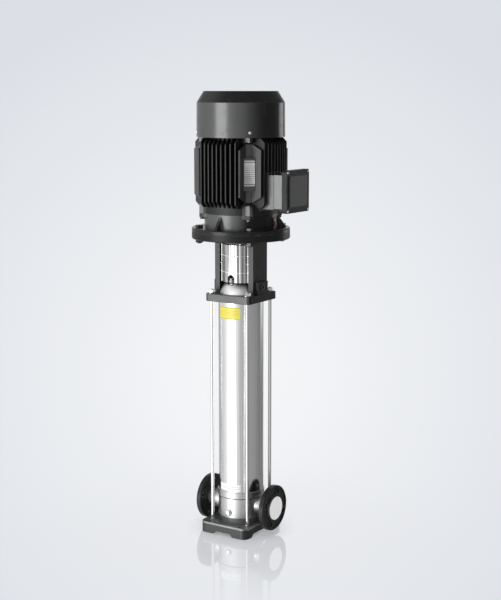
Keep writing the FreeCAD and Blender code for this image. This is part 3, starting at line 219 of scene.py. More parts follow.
def cast_paint(name, tones, grain, depth, rough, edge, edge_light, coat, coat_rough=0.2,
               specular=0.5, sheen=0.0, metal=0.12, where=None, glazed=None):
    """Satin black paint over a casting, lighter along its edges and a little dusty in patches; the
    lighter edges are partly wear and partly a painted edge highlight. Where the where function
    says, a
    sheen of this strength is painted in: the colour turns towards a grey of the metal's brightness
    and the paint turns partly metallic, a painted highlight. Most of its clear coat is only where
    the glazed function says."""
    paint = Finish(name)
    cloud = paint.noise(9.0, 4.0)
    sand = paint.noise(grain, 3.0, roughness=0.6)
    pits = paint.noise(grain * 0.28, 2.0)
    dust = paint.noise(34.0, 5.0, roughness=0.65).above(0.52, 0.78)
    # Lighter edges: partly wear, partly a painted edge highlight.
    wear_and_edge_highlight = paint.edges(edge) * paint.noise(WEAR_SCALE, 3.0).above(0.35, 0.6)
    dark, pale = tones
    colour = paint.blend(cloud, grey(dark, COOL), grey(pale, COOL))
    colour = paint.blend(dust * 0.25, colour, grey(DUST_GREY, COOL))
    # A sheen painted into the colour, and made partly metallic, where the where function says: a
    # painted highlight.
    painted_sheen = 0.0
    if where:
        painted_sheen = where(paint) * (0.75 + cloud * 0.5)
        colour = paint.blend(painted_sheen, colour, grey(metal, COOL))
    colour = paint.blend(wear_and_edge_highlight * edge_light, colour, grey(EDGE_WEAR_AND_HIGHLIGHT_GREY))
    relief = paint.bump(sand * 0.6 + pits * 0.4, depth, 0.8, paint.rounded(edge))
    roughness = rough + (cloud - 0.5) * 0.16 + (sand - 0.5) * 0.1 + dust * 0.1 - wear_and_edge_highlight * 0.1
    glaze = coat - dust * coat * 0.4
    if glazed:
        glaze = glaze * (0.3 + glazed(paint) * 0.7)
    return paint.set(Base_Color=colour, Roughness=roughness, Normal=relief,
                     Specular_IOR_Level=specular, Metallic=painted_sheen * sheen, Coat_Weight=glaze,
                     Coat_Roughness=coat_rough)


SHEET_ROLLS = 75.0
MARK_DEPTH = 0.00003


def bright_steel(name, value, rough, streak, grain, edge, wave=0.0):
    """Bare stainless steel with faint draw marks along z, longer for a smaller streak value. The
    wave is the depth of the shallow upright rolls that rolled sheet keeps."""
    steel = Finish(name)
    marks = steel.noise(grain, 4.0, (1.0, 1.0, streak), 0.6)
    cloud = steel.noise(14.0, 3.0, (1.0, 1.0, 0.3))
    colour = steel.blend(cloud, grey(value - 0.06), grey(value, (1.0, 1.0, 1.005)))
    roughness = rough + (marks - 0.5) * rough * 0.9 + (cloud - 0.5) * rough * 0.5
    relief = steel.bump(marks, MARK_DEPTH, 0.5, steel.rounded(edge))
    if wave:
        rolls = steel.noise(SHEET_ROLLS, 2.0, (1.0, 1.0, 0.02))
        relief = steel.bump(rolls, wave, 1.0, relief)
    return steel.set(Base_Color=colour, Metallic=1.0, Roughness=roughness, Normal=relief)


# Height of the chamber's groove, where shade is painted in as a dark line.
CHAMBER_GROOVE_SHADE = 0.1288
GROOVE_SHADE_HALF_WIDTH = 0.0016


def blasted_steel(name, value, rough, tint=(1.0, 1.0, 1.0), groove_shade=None):
    """A casting or pressing, bead-blasted to an even satin, with a painted shade: a dark line round
    it at the groove height, where one is given.
    """
    steel = Finish(name)
    beads = steel.noise(1500.0, 2.0)
    cloud = steel.noise(22.0, 4.0)
    colour = steel.blend(cloud, grey(value - 0.07, tint), grey(value + 0.02, tint))
    if groove_shade:
        # A dark line painted in the groove: painted shade.
        line = steel.part("Z").near(groove_shade, GROOVE_SHADE_HALF_WIDTH)
        colour = steel.blend(line, colour, grey(0.03))
    roughness = rough + (cloud - 0.5) * 0.12 + (beads - 0.5) * 0.08
    relief = steel.bump(beads, 0.00008, 0.45, steel.rounded(0.0012))
    return steel.set(Base_Color=colour, Metallic=1.0, Roughness=roughness, Normal=relief)


def moulded(name, colour, rough):
    """Moulded plastic or rubber with a fine even grain."""
    plastic = Finish(name)
    grain = plastic.noise(1800.0, 2.0)
    cloud = plastic.noise(30.0, 2.0)
    tone = plastic.blend(cloud, darker(colour, 0.8), colour)
    relief = plastic.bump(grain, 0.00005, 0.5, plastic.rounded(0.0006))
    return plastic.set(Base_Color=tone, Roughness=rough + (grain - 0.5) * 0.15, Normal=relief)


def film(name, colour, ink, middle, half, rules, strength, weight=0.07, metal=0.0, side=None):
    """A blank label: a printed border and a few ruled lines, with nothing written between them.
    It reaches half above and below its middle, the side is where its upright borders are, and the
    weight of the lines is a share of the space between them."""
    label = Finish(name)
    height = (label.part("Z") - middle) / half
    lines = (height * rules).math("FRACT").near(0.5, weight) * abs(height).below(0.55, 0.62)
    border = abs(height).near(0.86, 0.035)
    if side:
        across = abs(label.part("X"))
        border = border.math("MAXIMUM", across.near(side, 0.0006))
        border = border * across.below(side, side + 0.001)
    smudge = label.noise(220.0, 4.0)
    tone = label.blend(smudge.above(0.3, 0.8), colour, darker(colour, 0.94))
    printed = (lines * 0.35 + border * 0.4) * (0.6 + smudge * 0.5) * strength
    return label.set(Base_Color=label.blend(printed, tone, ink), Roughness=0.32 + smudge * 0.12,
                     Metallic=metal, Coat_Weight=0.2)


# Finishes by material slot

MATERIALS = {
    "cast_black": cast_paint("cast_black_paint", tones=(0.005, 0.009), grain=300.0, depth=0.0007,
                             rough=0.36, edge=0.0018, edge_light=0.8, coat=0.15, coat_rough=0.3,
                             specular=0.3),
    "polished_steel": bright_steel("polished_stainless", value=0.84, rough=0.14, streak=0.01,
                                   grain=700.0, edge=0.0006, wave=0.0010),
    "cast_steel": blasted_steel("blasted_stainless", value=0.62, rough=0.38),
    "bright_fastener": bright_steel("plated_steel", value=0.8, rough=0.2, streak=1.0, grain=700.0,
                                    edge=0.0005),
    "black_fastener": cast_paint("blackened_steel", tones=(0.006, 0.012), grain=1500.0,
                                 depth=0.0001, rough=0.24, edge=0.0006, edge_light=0.8, coat=0.5),
    "shaft_steel": bright_steel("turned_steel", value=0.6, rough=0.25, streak=30.0, grain=40.0,
                                edge=0.0005),
    "core_steel": moulded("varnished_core", (0.12, 0.05, 0.03, 1.0), rough=0.4),
    "coupling_iron": blasted_steel("machined_iron", value=0.32, rough=0.4),
    "bush_bronze": blasted_steel("bearing_bronze", value=0.5, rough=0.3, tint=WARM),
    "seal_rubber": moulded("seal_rubber", (0.012, 0.012, 0.012, 1.0), rough=0.7),
    "fan_plastic": moulded("black_plastic", (0.015, 0.015, 0.016, 1.0), rough=0.42),
    "stopper_red": moulded("red_stopper_plastic", (0.17, 0.025, 0.02, 1.0), rough=0.45),
    "label_yellow": film("yellow_film", (0.70, 0.62, 0.07, 1.0), ink=(0.10, 0.09, 0.04, 1.0),
                         middle=0.811, half=0.022, rules=4.0, strength=2.0),
    "label_white": film("white_film", (0.92, 0.92, 0.92, 1.0), ink=(0.08, 0.08, 0.09, 1.0),
                        middle=0.1695, half=0.0125, rules=2.0, strength=1.6, weight=0.2,
                        side=0.0395),
    "plate_silver": film("plate_silver", (0.62, 0.62, 0.62, 1.0), ink=(0.05, 0.05, 0.05, 1.0),
                         middle=1.31, half=0.044, rules=6.0, strength=2.2, weight=0.12, metal=0.8),
}
DRAWN_BAR_FINISH = bright_steel("drawn_bar", value=0.86, rough=0.1, streak=0.05, grain=500.0,
                                edge=0.0005)


# Finishes of single nodes. Between the two places of a pair, one look fades into the other.

# Places of the sheens painted into the paints below: painted highlights on faces that catch the key
# light.
STOOL_PLATE_FRONT = (-0.0925, -0.0915)
STOOL_COLUMN_FRONT = (-0.0458, -0.0452)
STOOL_SIDE = (0.091, 0.092)
STOOL_REACH = (0.135, 0.150)
BELL_REACH = (0.128, 0.145)
BELL_SIDE = (0.05, 0.095)
COWL_SHOULDER = (1.5490, 1.5500)
COWL_SIDE = (0.08, 0.145)
LID_MIDDLE = 1.2483
LID_PANEL_SIDE = (0.055, 0.056)
LID_PANEL_TOP = (0.053, 0.054)


def all_over(paint):
    return 1.0


def stool_fronts(paint):
    """Where a sheen is painted on the stool, a painted highlight on its -y faces: the front of the
    stool's plate, and less so the fronts of its two columns.
    """
    plate = paint.part("Y").below(*STOOL_PLATE_FRONT)
    columns = paint.part("Y").below(*STOOL_COLUMN_FRONT) * 0.6
    inside = paint.part("X").below(*STOOL_SIDE) * paint.radius().below(*STOOL_REACH)
    return plate.math("MAXIMUM", columns) * inside


def bell(paint):
    """Where a sheen is painted on the drive endshield, a painted highlight: inside its flange,
    fading out on its right side (+x).
    """
    return paint.radius().below(*BELL_REACH) * paint.part("X").below(*BELL_SIDE)


def cowl_skirt(paint):
    return paint.part("Z").below(*COWL_SHOULDER)


# Where a sheen is painted on the fan cowl, a painted highlight: below its shoulder, fading out
# towards +x.
def cowl_front(paint):
    return cowl_skirt(paint) * paint.part("X").below(*COWL_SIDE)


def lid_panel(paint):
    """The lid's raised middle, where a sheen is painted in as a highlight."""
    height = abs(paint.part("Z") - LID_MIDDLE)
    return abs(paint.part("Y")).below(*LID_PANEL_SIDE) * height.below(*LID_PANEL_TOP)


# Where the foot's painted sheen and painted highlight line lie.
FOOT_DECK = (0.0345, 0.0365)
FOOT_RIM_X = (0.0965, 0.098)
FOOT_RIM_Y = (0.1205, 0.122)
FOOT_RIM_HEIGHT = (0.0325, 0.034)
FOOT_EDGE = 0.0022


def foot_paint():
    """The foot's paint: glossy round its sides, with a grey metallic sheen painted on the deck and
    the pump's seat, a painted highlight, and a painted highlight line along the deck's rim."""
    paint = Finish("foot_paint")
    cloud = paint.noise(12.0, 4.0)
    sand = paint.noise(300.0, 3.0, roughness=0.6)
    x, y, z = abs(paint.part("X")), abs(paint.part("Y")), paint.part("Z")
    # Deck and seat: a sheen painted into the colour, a painted highlight on the faces that look up.
    deck = z.above(*FOOT_DECK) * (0.6 + cloud * 0.6)
    # A painted highlight line along the top edge of the deck's rim.
    rim = x.above(*FOOT_RIM_X).math("MAXIMUM", y.above(*FOOT_RIM_Y)) * z.above(*FOOT_RIM_HEIGHT)
    # Lighter edges: partly wear, partly a painted edge highlight.
    wear_and_edge_highlight = paint.edges(FOOT_EDGE) * paint.noise(WEAR_SCALE, 3.0).above(0.3, 0.6)
    colour = paint.blend(cloud, grey(0.006, COOL), grey(0.011, COOL))
    colour = paint.blend(deck, colour, grey(0.19, COOL))
    colour = paint.blend(wear_and_edge_highlight, colour, grey(0.3))
    colour = paint.blend(rim * (0.3 + cloud * 0.6), colour, grey(0.35, COOL))
    relief = paint.bump(sand, 0.0003, 0.8, paint.rounded(FOOT_EDGE))
    roughness = 0.27 + (cloud - 0.5) * 0.16 + (sand - 0.5) * 0.1 + deck * 0.12
    sheen = (deck * 0.65).math("MAXIMUM", rim * 0.5).math("MINIMUM", 0.75)
    return paint.set(Base_Color=colour, Roughness=roughness, Normal=relief, Metallic=sheen,
                     Specular_IOR_Level=0.5, Coat_Weight=0.4 - deck * 0.2, Coat_Roughness=0.22)


FIN_REACH = (0.084, 0.094)
NECK_X = (0.11, 0.115)
NECK_Y = (0.060, 0.064)
NECK_BOTTOM = (1.175, 1.182)
NECK_TOP = (1.308, 1.315)


def ribbed_paint():
    """The housing's paint: a metallic sheen painted on the corner pads and on the neck of the
    terminal box, a painted highlight, and darker and rougher on the fins and in the gaps between
    them, a painted shade."""
    paint = Finish("ribbed_housing_paint")
    x, y, z = (paint.part(axis) for axis in "XYZ")
    neck = x.above(*NECK_X) * abs(y).below(*NECK_Y) * z.above(*NECK_BOTTOM) * z.below(*NECK_TOP)
    fins = abs(x).math("MINIMUM", abs(y)).below(*FIN_REACH) * (1.0 - neck)
    cloud = paint.noise(9.0, 4.0)
    sand = paint.noise(900.0, 3.0, roughness=0.6)
    # Lighter pad edges: partly wear, partly a painted edge highlight.
    wear_and_edge_highlight = paint.edges(0.0012) * paint.noise(WEAR_SCALE, 3.0).above(0.35, 0.6) * (1.0 - fins)
    colour = paint.blend(cloud, grey(0.005, COOL), grey(0.009, COOL))
    # A sheen painted in all over, taken off again on the fins: a painted highlight on the pads and
    # the neck.
    colour = paint.blend(0.6, colour, grey(0.12, COOL))
    # The fins and the gaps between them painted darker: painted shade.
    colour = paint.blend(fins, colour, grey(0.0025, COOL))
    colour = paint.blend(wear_and_edge_highlight * 0.5, colour, grey(0.14))
    relief = paint.bump(sand, 0.0003, 0.8, paint.rounded(0.0008))
    roughness = 0.32 + (cloud - 0.5) * 0.14 + fins * 0.16
    gloss = 0.6 - fins * 0.6
    return paint.set(Base_Color=colour, Roughness=roughness, Normal=relief, Metallic=gloss,
                     Specular_IOR_Level=0.5, Coat_Weight=gloss, Coat_Roughness=0.28)


NODE_FINISH = {
    # The lid: a sheen painted on its raised panel, and painted highlight lines along the panel's
    # edges.
    "terminal_lid": cast_paint("lid_paint", tones=(0.002, 0.004), grain=1200.0, depth=0.0001,
                               rough=0.36, edge=0.003, edge_light=1.4, coat=0.12, specular=0.25,
                               sheen=0.5, metal=0.07, where=lid_panel, glazed=lid_panel),
    "terminal_box": cast_paint("box_paint", tones=(0.004, 0.007), grain=900.0, depth=0.0003,
                               rough=0.34, edge=0.0008, edge_light=0.1, coat=0.4, coat_rough=0.26,
                               sheen=0.6, metal=0.115, where=all_over),
    "head_cover": blasted_steel("blasted_dome", value=0.74, rough=0.38),
    "base_chamber": blasted_steel("blasted_chamber", value=0.60, rough=0.38, groove_shade=CHAMBER_GROOVE_SHADE),
    "fan_cowl": cast_paint("cowl_paint", tones=(0.004, 0.007), grain=1600.0, depth=0.00004,
                           rough=0.38, edge=0.0010, edge_light=0.2, coat=0.8, coat_rough=0.16,
                           specular=0.2, sheen=0.4, metal=0.07, where=cowl_front,
                           glazed=cowl_skirt),
    "motor_stool": cast_paint("stool_paint", tones=(0.005, 0.009), grain=300.0, depth=0.0007,
                              rough=0.34, edge=0.0018, edge_light=0.8, coat=0.08, coat_rough=0.3,
                              specular=0.2, sheen=0.6, metal=0.105, where=stool_fronts),
    "drive_endshield": cast_paint("bell_paint", tones=(0.005, 0.009), grain=300.0, depth=0.0003,
                                  rough=0.26, edge=0.0018, edge_light=0.8, coat=0.12,
                                  specular=0.25, sheen=0.33, metal=0.11, where=bell),
    "base_plate": foot_paint(),
    "motor_housing": ribbed_paint(),
}

for row in frame["record"]["subparts"]:
    finishes = frame["nodes"][row["node"]].data.materials
    finishes.clear()
    finishes.append(NODE_FINISH.get(row["node"]) or MATERIALS[row["material_slot"]])


# Meshes

SHARP_EDGE = math.radians(32.0)


def hexagon(flats):
    """Radius of a hexagon with a corner at angle 0."""
    return lambda angle: flats / 2 / math.cos(angle % (FULL / 6) - FULL / 12)


def cross(reach, half_width):
    """Radius of a cross recess with its arms along the axes."""
    def radius(angle):
        turn = (angle + FULL / 8) % (FULL / 4) - FULL / 8
        if abs(math.tan(turn)) < half_width / reach:
            return reach / math.cos(turn)
        return half_width / max(abs(math.sin(turn)), half_width / reach)
    return radius


def add_walls(mesh, rows):
    """Faces between each row of vertices and the next. Every row runs round once."""
    count = len(rows[0])
    for low, high in zip(rows, rows[1:]):
        for k in range(count):
            n = (k + 1) % count
            mesh.faces.new((low[k], low[n], high[n], high[k]))


def add_ends(mesh, rows):
    mesh.faces.new(rows[0][::-1])
    mesh.faces.new(rows[-1])


def turned(rings, count=48, closed=False):
    """A mesh over rings about z. Each ring is (radius, height), and both may be functions of the
    angle. The first and last ring are filled, or joined to each other if closed."""
    mesh = bmesh.new()
    rows = []
    for radius, height in rings:
        row = []
        for k in range(count):
            angle = k * FULL / count
            r = radius(angle) if callable(radius) else radius
            z = height(angle) if callable(height) else height
            row.append(mesh.verts.new((r * math.cos(angle), r * math.sin(angle), z)))
        rows.append(row)
    add_walls(mesh, rows + rows[:1] if closed else rows)
    if not closed:
        add_ends(mesh, rows)
    return finished_mesh(mesh)


def upright_prism(points, y0, y1):
    """A block across y from outline points (x, z)."""
    mesh = bmesh.new()
    rows = [[mesh.verts.new((x, y, z)) for x, z in points] for y in (y0, y1)]
    add_walls(mesh, rows)
    add_ends(mesh, rows)
    return finished_mesh(mesh)


def finished_mesh(mesh):
    bmesh.ops.remove_doubles(mesh, verts=mesh.verts, dist=1e-7)
    bmesh.ops.recalc_face_normals(mesh, faces=mesh.faces)
    for face in mesh.faces:
        face.smooth = True
    for edge in mesh.edges:
        edge.smooth = edge.calc_face_angle(0.0) < SHARP_EDGE
    data = bpy.data.meshes.new("mesh")
    mesh.to_mesh(data)
    mesh.free()
    return data


def moved(data, matrix):
    data.transform(matrix)
    return data


def joined(meshes):
    mesh = bmesh.new()
    for data in meshes:
        mesh.from_mesh(data)
    out = bpy.data.meshes.new("mesh")
    mesh.to_mesh(out)
    mesh.free()
    return out


def turn_x(angle):
    return Matrix.Rotation(angle, 4, "X")


def turn_z(angle):
    return Matrix.Rotation(angle, 4, "Z")


def threaded(radius, low, high, pitch):
    """The (radius, height) points of a thread's flanks from low to high."""
    root = radius - 0.55 * pitch
    points = []
    for k in range(int((high - low) / pitch)):
        z = low + k * pitch
        points += [(root, z), (radius, z + 0.4 * pitch), (radius, z + 0.6 * pitch)]
    return points + [(root, high)]


def hexagon_head(flats, low, high, bore=0.0):
    """A bolt head, or a nut if it has a bore, with its corners turned off."""
    face = 0.475 * flats
    side = hexagon(flats)
    bevel = 0.6 * MM

    def drop(angle):
        return 0.58 * (side(angle) - face)
    rings = [(face, low), (side, lambda a: low + drop(a)), (side, lambda a: high - drop(a)),
             (face, high)]
    if bore:
        rings = [(bore, low)] + rings + [(bore + bevel, high), (bore, high - bevel)]
    return turned(rings, closed=bool(bore))


def pan_head(radius, height, sink):
    """A round screw head with a cross recess, standing on z = 0, with a stub sunk below it."""
    stub = 0.5 * radius
    arm = cross(0.55 * radius, 0.14 * radius)
    pit = cross(0.4 * radius, 0.09 * radius)
    return turned([
        (stub, -sink), (stub, 0), (radius, 0), (radius, 0.3 * height),
        (0.93 * radius, 0.62 * height), (0.8 * radius, 0.88 * height), (0.64 * radius, height),
        (arm, height), (pit, 0.35 * height),
    ])


# Objects, and the meshes that modifiers make of them

def in_scene(name, data):
    thing = bpy.data.objects.new(name, data)
    scene.collection.objects.link(thing)
    return thing


def converted(thing, modifier, helper):
    """The mesh that the modifier makes of the thing. The thing and its helper are gone after it."""
    graph = bpy.context.evaluated_depsgraph_get()
    result = bpy.data.meshes.new_from_object(thing.evaluated_get(graph))
    thing.modifiers.remove(modifier)
    for used in (thing, helper):
        bpy.data.objects.remove(used)
    return result


def copies_tree():
    """Geometry Nodes that put a shape on points, each copy twisted a little about its own axis."""
    tree = bpy.data.node_groups.new("copies_on_points", "GeometryNodeTree")
    for name, kind in (("Points", "Geometry"), ("Shape", "Object"), ("Finish", "Material"),
                       ("Twist", "Float"), ("Seed", "Int")):
        tree.interface.new_socket(name, in_out="INPUT", socket_type="NodeSocket" + kind)
    tree.interface.new_socket("Result", in_out="OUTPUT", socket_type="NodeSocketGeometry")
    node = tree.nodes.new
    link = tree.links.new
    source = node("NodeGroupInput")
    shape = node("GeometryNodeObjectInfo")
    turn = node("GeometryNodeInputNamedAttribute")
    turn.data_type = "FLOAT_VECTOR"
    turn.inputs["Name"].default_value = "turn"
    place = node("GeometryNodeInstanceOnPoints")
    least = node("ShaderNodeMath")
    least.operation = "MULTIPLY"
    least.inputs[1].default_value = -1.0
    chance = node("FunctionNodeRandomValue")
    float_min, float_max, float_value = chance.inputs[2], chance.inputs[3], chance.outputs[1]
    twist = node("ShaderNodeCombineXYZ")
    spin = node("GeometryNodeRotateInstances")
    real = node("GeometryNodeRealizeInstances")
    paint = node("GeometryNodeSetMaterial")
    result = node("NodeGroupOutput")
    link(source.outputs["Shape"], shape.inputs["Object"])
    link(source.outputs["Points"], place.inputs["Points"])
    link(shape.outputs["Geometry"], place.inputs["Instance"])
    link(turn.outputs["Attribute"], place.inputs["Rotation"])
    link(source.outputs["Twist"], least.inputs[0])
    link(least.outputs[0], float_min)
    link(source.outputs["Twist"], float_max)
    link(source.outputs["Seed"], chance.inputs["Seed"])
    link(float_value, twist.inputs["Z"])
    link(place.outputs["Instances"], spin.inputs["Instances"])
    link(twist.outputs[0], spin.inputs["Rotation"])
    link(spin.outputs[0], real.inputs[0])
    link(real.outputs[0], paint.inputs["Geometry"])
    link(source.outputs["Finish"], paint.inputs["Material"])
    link(paint.outputs[0], result.inputs[0])
    return tree


COPIES = copies_tree()
COPIES_INPUTS = {item.name: item.identifier for item in COPIES.interface.items_tree
                 if item.in_out == "INPUT"}
TWIST_SEED = 7


def copies(shape, places, finish, twist=0.0):
    """One mesh with the shape at each place, a (point, turn) pair with the turn as Euler angles."""
    points = bpy.data.meshes.new("points")
    points.from_pydata([point for point, turn in places], [], [])
    turns = points.attributes.new("turn", "FLOAT_VECTOR", "POINT")
    for item, (point, turn) in zip(turns.data, places):
        item.vector = turn
    holder, pattern = in_scene("holder", points), in_scene("pattern", shape)
    modifier = holder.modifiers.new("copies", "NODES")
    modifier.node_group = COPIES
    values = {"Shape": pattern, "Finish": finish, "Twist": twist, "Seed": TWIST_SEED}
    for name, value in values.items():
        modifier[COPIES_INPUTS[name]] = value
    return converted(holder, modifier, pattern)


def carved(data, cutters):
    """The mesh with the cutters' meshes taken out of it."""
    body, knife = in_scene("body", data), in_scene("knife", joined(cutters))
    cut = body.modifiers.new("cut", "BOOLEAN")
    cut.object = knife
    cut.operation = "DIFFERENCE"
    cut.solver = "EXACT"
    mesh = bmesh.new()
    mesh.from_mesh(converted(body, cut, knife))
    return finished_mesh(mesh)


def piece(name, data, slot, body, *nodes, finish=None):
    """A finished piece that stands for these CAD nodes."""
    data.materials.clear()
    data.materials.append(finish or MATERIALS[slot])
    thing = in_scene(name, data)
    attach(thing, body)
    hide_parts(*nodes)


def piece_of_copies(name, shape, places, slot, node, twist=0.0, finish=None):
    """A finished piece fixed to the pump, with the shape at each place."""
    data = copies(shape, places, finish or MATERIALS[slot], twist)
    piece(name, data, slot, "pump", node, finish=finish)


def low_high(node):
    low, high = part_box(node)
    return Vector(low), Vector(high)


def middle_height(node):
    low, high = low_high(node)
    return (low.z + high.z) / 2


def ring_places(radius, height, angles):
    """Places round the pump shaft, each turned with its angle."""
    return [((radius * math.cos(a), radius * math.sin(a), height), (0, 0, a)) for a in angles]


def side_places(points, facing):
    """Places on an upright face: their z axis turned to the facing angle about the pump shaft."""
    return [(point, (0, FULL / 4, facing)) for point in points]


# Sleeve, stay bolts and their nuts

def outer_sleeve():
    low, high = low_high("outer_sleeve")
    radius, wall, edge = high.x, 2.0 * MM, 0.7 * MM
    rings = [(radius - wall, low.z), (radius - edge, low.z), (radius, low.z + edge),
             (radius, high.z - edge), (radius - edge, high.z), (radius - wall, high.z)]
    tube = turned(rings, 256, closed=True)
    piece("sleeve_tube", tube, "polished_steel", "pump", "outer_sleeve")


STAY_OFFSET = 75.3 * MM
STAY_RADIUS = 6.0 * MM
STAY_EDGE = 0.6 * MM
STAY_PLACES = [((x * STAY_OFFSET, y * STAY_OFFSET, 0), (0, 0, 0)) for x in (-1, 1) for y in (-1, 1)]


def stay_bolts():
    """Drawn bars with a collar on the foot's deck and a thread at the top."""
    low, high = low_high("stay_bolts")
    radius, edge, pitch = STAY_RADIUS, STAY_EDGE, 1.75 * MM
    collar, collar_low, collar_high = 9.0 * MM, 37.0 * MM, 41.0 * MM
    tip = radius - 1.6 * MM
    thread = low_high("motor_stool")[0].z + 34.0 * MM
    rings = [(radius, low.z), (radius, collar_low), (collar - edge, collar_low),
             (collar, collar_low + edge), (collar, collar_high - edge),
             (collar - edge, collar_high), (radius + edge, collar_high),
             (radius, collar_high + edge), (radius, thread)]
    rings += threaded(radius, thread + edge, high.z - edge, pitch) + [(tip, high.z)]
    piece_of_copies("stay_bolts_turned", turned(rings, 64), STAY_PLACES, "polished_steel",
                    "stay_bolts", finish=DRAWN_BAR_FINISH)


def stay_nuts():
    low, high = low_high("stay_nuts")
    nut = hexagon_head(22.0 * MM, low.z, high.z, bore=STAY_RADIUS + 0.1 * MM)
    piece_of_copies("stay_nuts_cut", nut, STAY_PLACES, "bright_fastener", "stay_nuts", twist=0.5)


def stay_washers():
    low, high = low_high("stay_washers")
    inner, outer, edge = STAY_RADIUS + 0.3 * MM, 13.0 * MM, STAY_EDGE
    rings = [(inner, low.z), (outer - edge, low.z), (outer, low.z + edge), (outer, high.z - edge),
             (outer - edge, high.z), (inner + edge, high.z), (inner, high.z - edge)]
    piece_of_copies("stay_washers_punched", turned(rings, 64, closed=True), STAY_PLACES,
                    "bright_fastener", "stay_washers")


# Motor flange bolts and the small screws

FLANGE_BOLT_RADIUS = 8.0 * MM
FLANGE_FLATS = 24.0 * MM
FLANGE_PLACES = ring_places(150.0 * MM, 0, CORNERS)


def flange_bolts():
    low, high = low_high("flange_bolts")
    radius, head, pitch = FLANGE_BOLT_RADIUS, 10.0 * MM, 2.0 * MM
    under = high.z - head
    tip, thread_end, shank_start = radius - 1.2 * MM, under - 14.0 * MM, under - 13.0 * MM
    rings = [(tip, low.z)] + threaded(radius, low.z + 0.6 * MM, thread_end, pitch)
    shank = turned(rings + [(radius, shank_start), (radius, under)])
    bolt = joined([shank, hexagon_head(FLANGE_FLATS, under, high.z)])
    piece_of_copies("flange_bolts_set", bolt, FLANGE_PLACES, "black_fastener", "flange_bolts")


def flange_nuts():
    low, high = low_high("flange_nuts")
    nut = hexagon_head(FLANGE_FLATS, low.z, high.z, bore=FLANGE_BOLT_RADIUS + 0.1 * MM)
    piece_of_copies("flange_nuts_set", nut, FLANGE_PLACES, "black_fastener", "flange_nuts")


SCREW_TWIST = 0.7


def cowl_screws():
    reach, radius, head, stub = 156.5 * MM, 5.5 * MM, 3.5 * MM, 12.0 * MM
    z = middle_height("cowl_screws")
    places = [(point, (0, FULL / 4, turn[2])) for point, turn in ring_places(reach, z, CORNERS)]
    piece_of_copies("cowl_screws_set", pan_head(radius, head, stub), places, "bright_fastener",
                    "cowl_screws", twist=SCREW_TWIST)


def lid_screws():
    low, high = low_high("lid_screws")
    radius, head, stub = 4.5 * MM, 3.0 * MM, 15.0 * MM
    points = [(high.x - head, y, z) for y in (low.y + radius, high.y - radius)
              for z in (low.z + radius, high.z - radius)]
    piece_of_copies("lid_screws_set", pan_head(radius, head, stub), side_places(points, 0),
                    "bright_fastener", "lid_screws", twist=SCREW_TWIST)


GUARD_SCREW_RADIUS = 3.4 * MM


def guard_screws():
    low, high = low_high("guard_screws")
    radius, head, stub = GUARD_SCREW_RADIUS, 3.0 * MM, 6.0 * MM
    z = middle_height("guard_screws")
    front, rear = ([(x, y, z) for x in (low.x + radius, high.x - radius)]
                   for y in (low.y + head, high.y - head))
    places = side_places(front, -FULL / 4) + side_places(rear, FULL / 4)
    piece_of_copies("guard_screws_set", pan_head(radius, head, stub), places, "bright_fastener",
                    "guard_screws", twist=SCREW_TWIST)


# Coupling guards

GUARD_RADIUS = 66.0 * MM
GUARD_SHEET = 1.0 * MM
GUARD_HALF_ANGLE = math.radians(53.4)
GUARD_LOW = low_high("guard_front")[0].z
GUARD_RIDGES = (GUARD_LOW + 36.0 * MM, GUARD_LOW + 95.0 * MM)
GUARD_EARS = (0.0525, 0.0535)
RIDGE_HALF_WIDTH = 1.4 * MM
RIDGE_HEIGHT = 0.8 * MM
RIDGE_END = math.radians(48.0)
RIDGE_RUNOUT = math.radians(1.5)


def guard_path(offset):
    """The guard's outline seen from above, from ear to ear, this far inside its outer face."""
    low, high = low_high("guard_front")
    radius = GUARD_RADIUS - offset
    ear = -GUARD_RADIUS * math.cos(GUARD_HALF_ANGLE) + offset
    bend = math.acos(-ear / radius)
    arc = [-bend + 2 * bend * k / 96 for k in range(97)]
    bow = [(radius * math.sin(a), -radius * math.cos(a)) for a in arc]
    return [(low.x, ear)] + bow + [(high.x, ear)]


def brushed_guard():
    """Thin sheet with upright streaks painted dark into its colour as reflection bands, its ears
    painted darker as shade, and its ridges painted bright as highlights.
    """
    steel = Finish("brushed_guard_sheet")
    marks = steel.noise(420.0, 4.0, (1.0, 1.0, 0.012), 0.6)
    painted_reflection_streaks = steel.noise(62.0, 3.0, (1.0, 1.0, 0.02), 0.6).above(0.42, 0.6)
    ears_painted_shade = abs(steel.part("X")).above(*GUARD_EARS)
    low, high = (steel.part("Z").near(ridge, 0.0012) for ridge in GUARD_RIDGES)
    ridges = low.math("MAXIMUM", high)
    # Dark upright streaks in the colour: painted reflection bands.
    colour = steel.blend(painted_reflection_streaks * 0.75, grey(0.66), grey(0.12))
    # The flat ears painted darker: painted shade.
    colour = steel.blend(ears_painted_shade, colour, grey(0.22))
    # The pressed ridges painted bright: painted highlight.
    colour = steel.blend(ridges, colour, grey(0.95))
    rolls = steel.noise(SHEET_ROLLS, 2.0, (1.0, 1.0, 0.02))
    relief = steel.bump(marks, MARK_DEPTH, 0.5, steel.rounded(0.0005))
    relief = steel.bump(rolls, 0.0055, 1.0, relief)
    roughness = 0.13 + (marks - 0.5) * 0.12 + ridges * 0.4
    return steel.set(Base_Color=colour, Metallic=1.0, Roughness=roughness, Normal=relief)


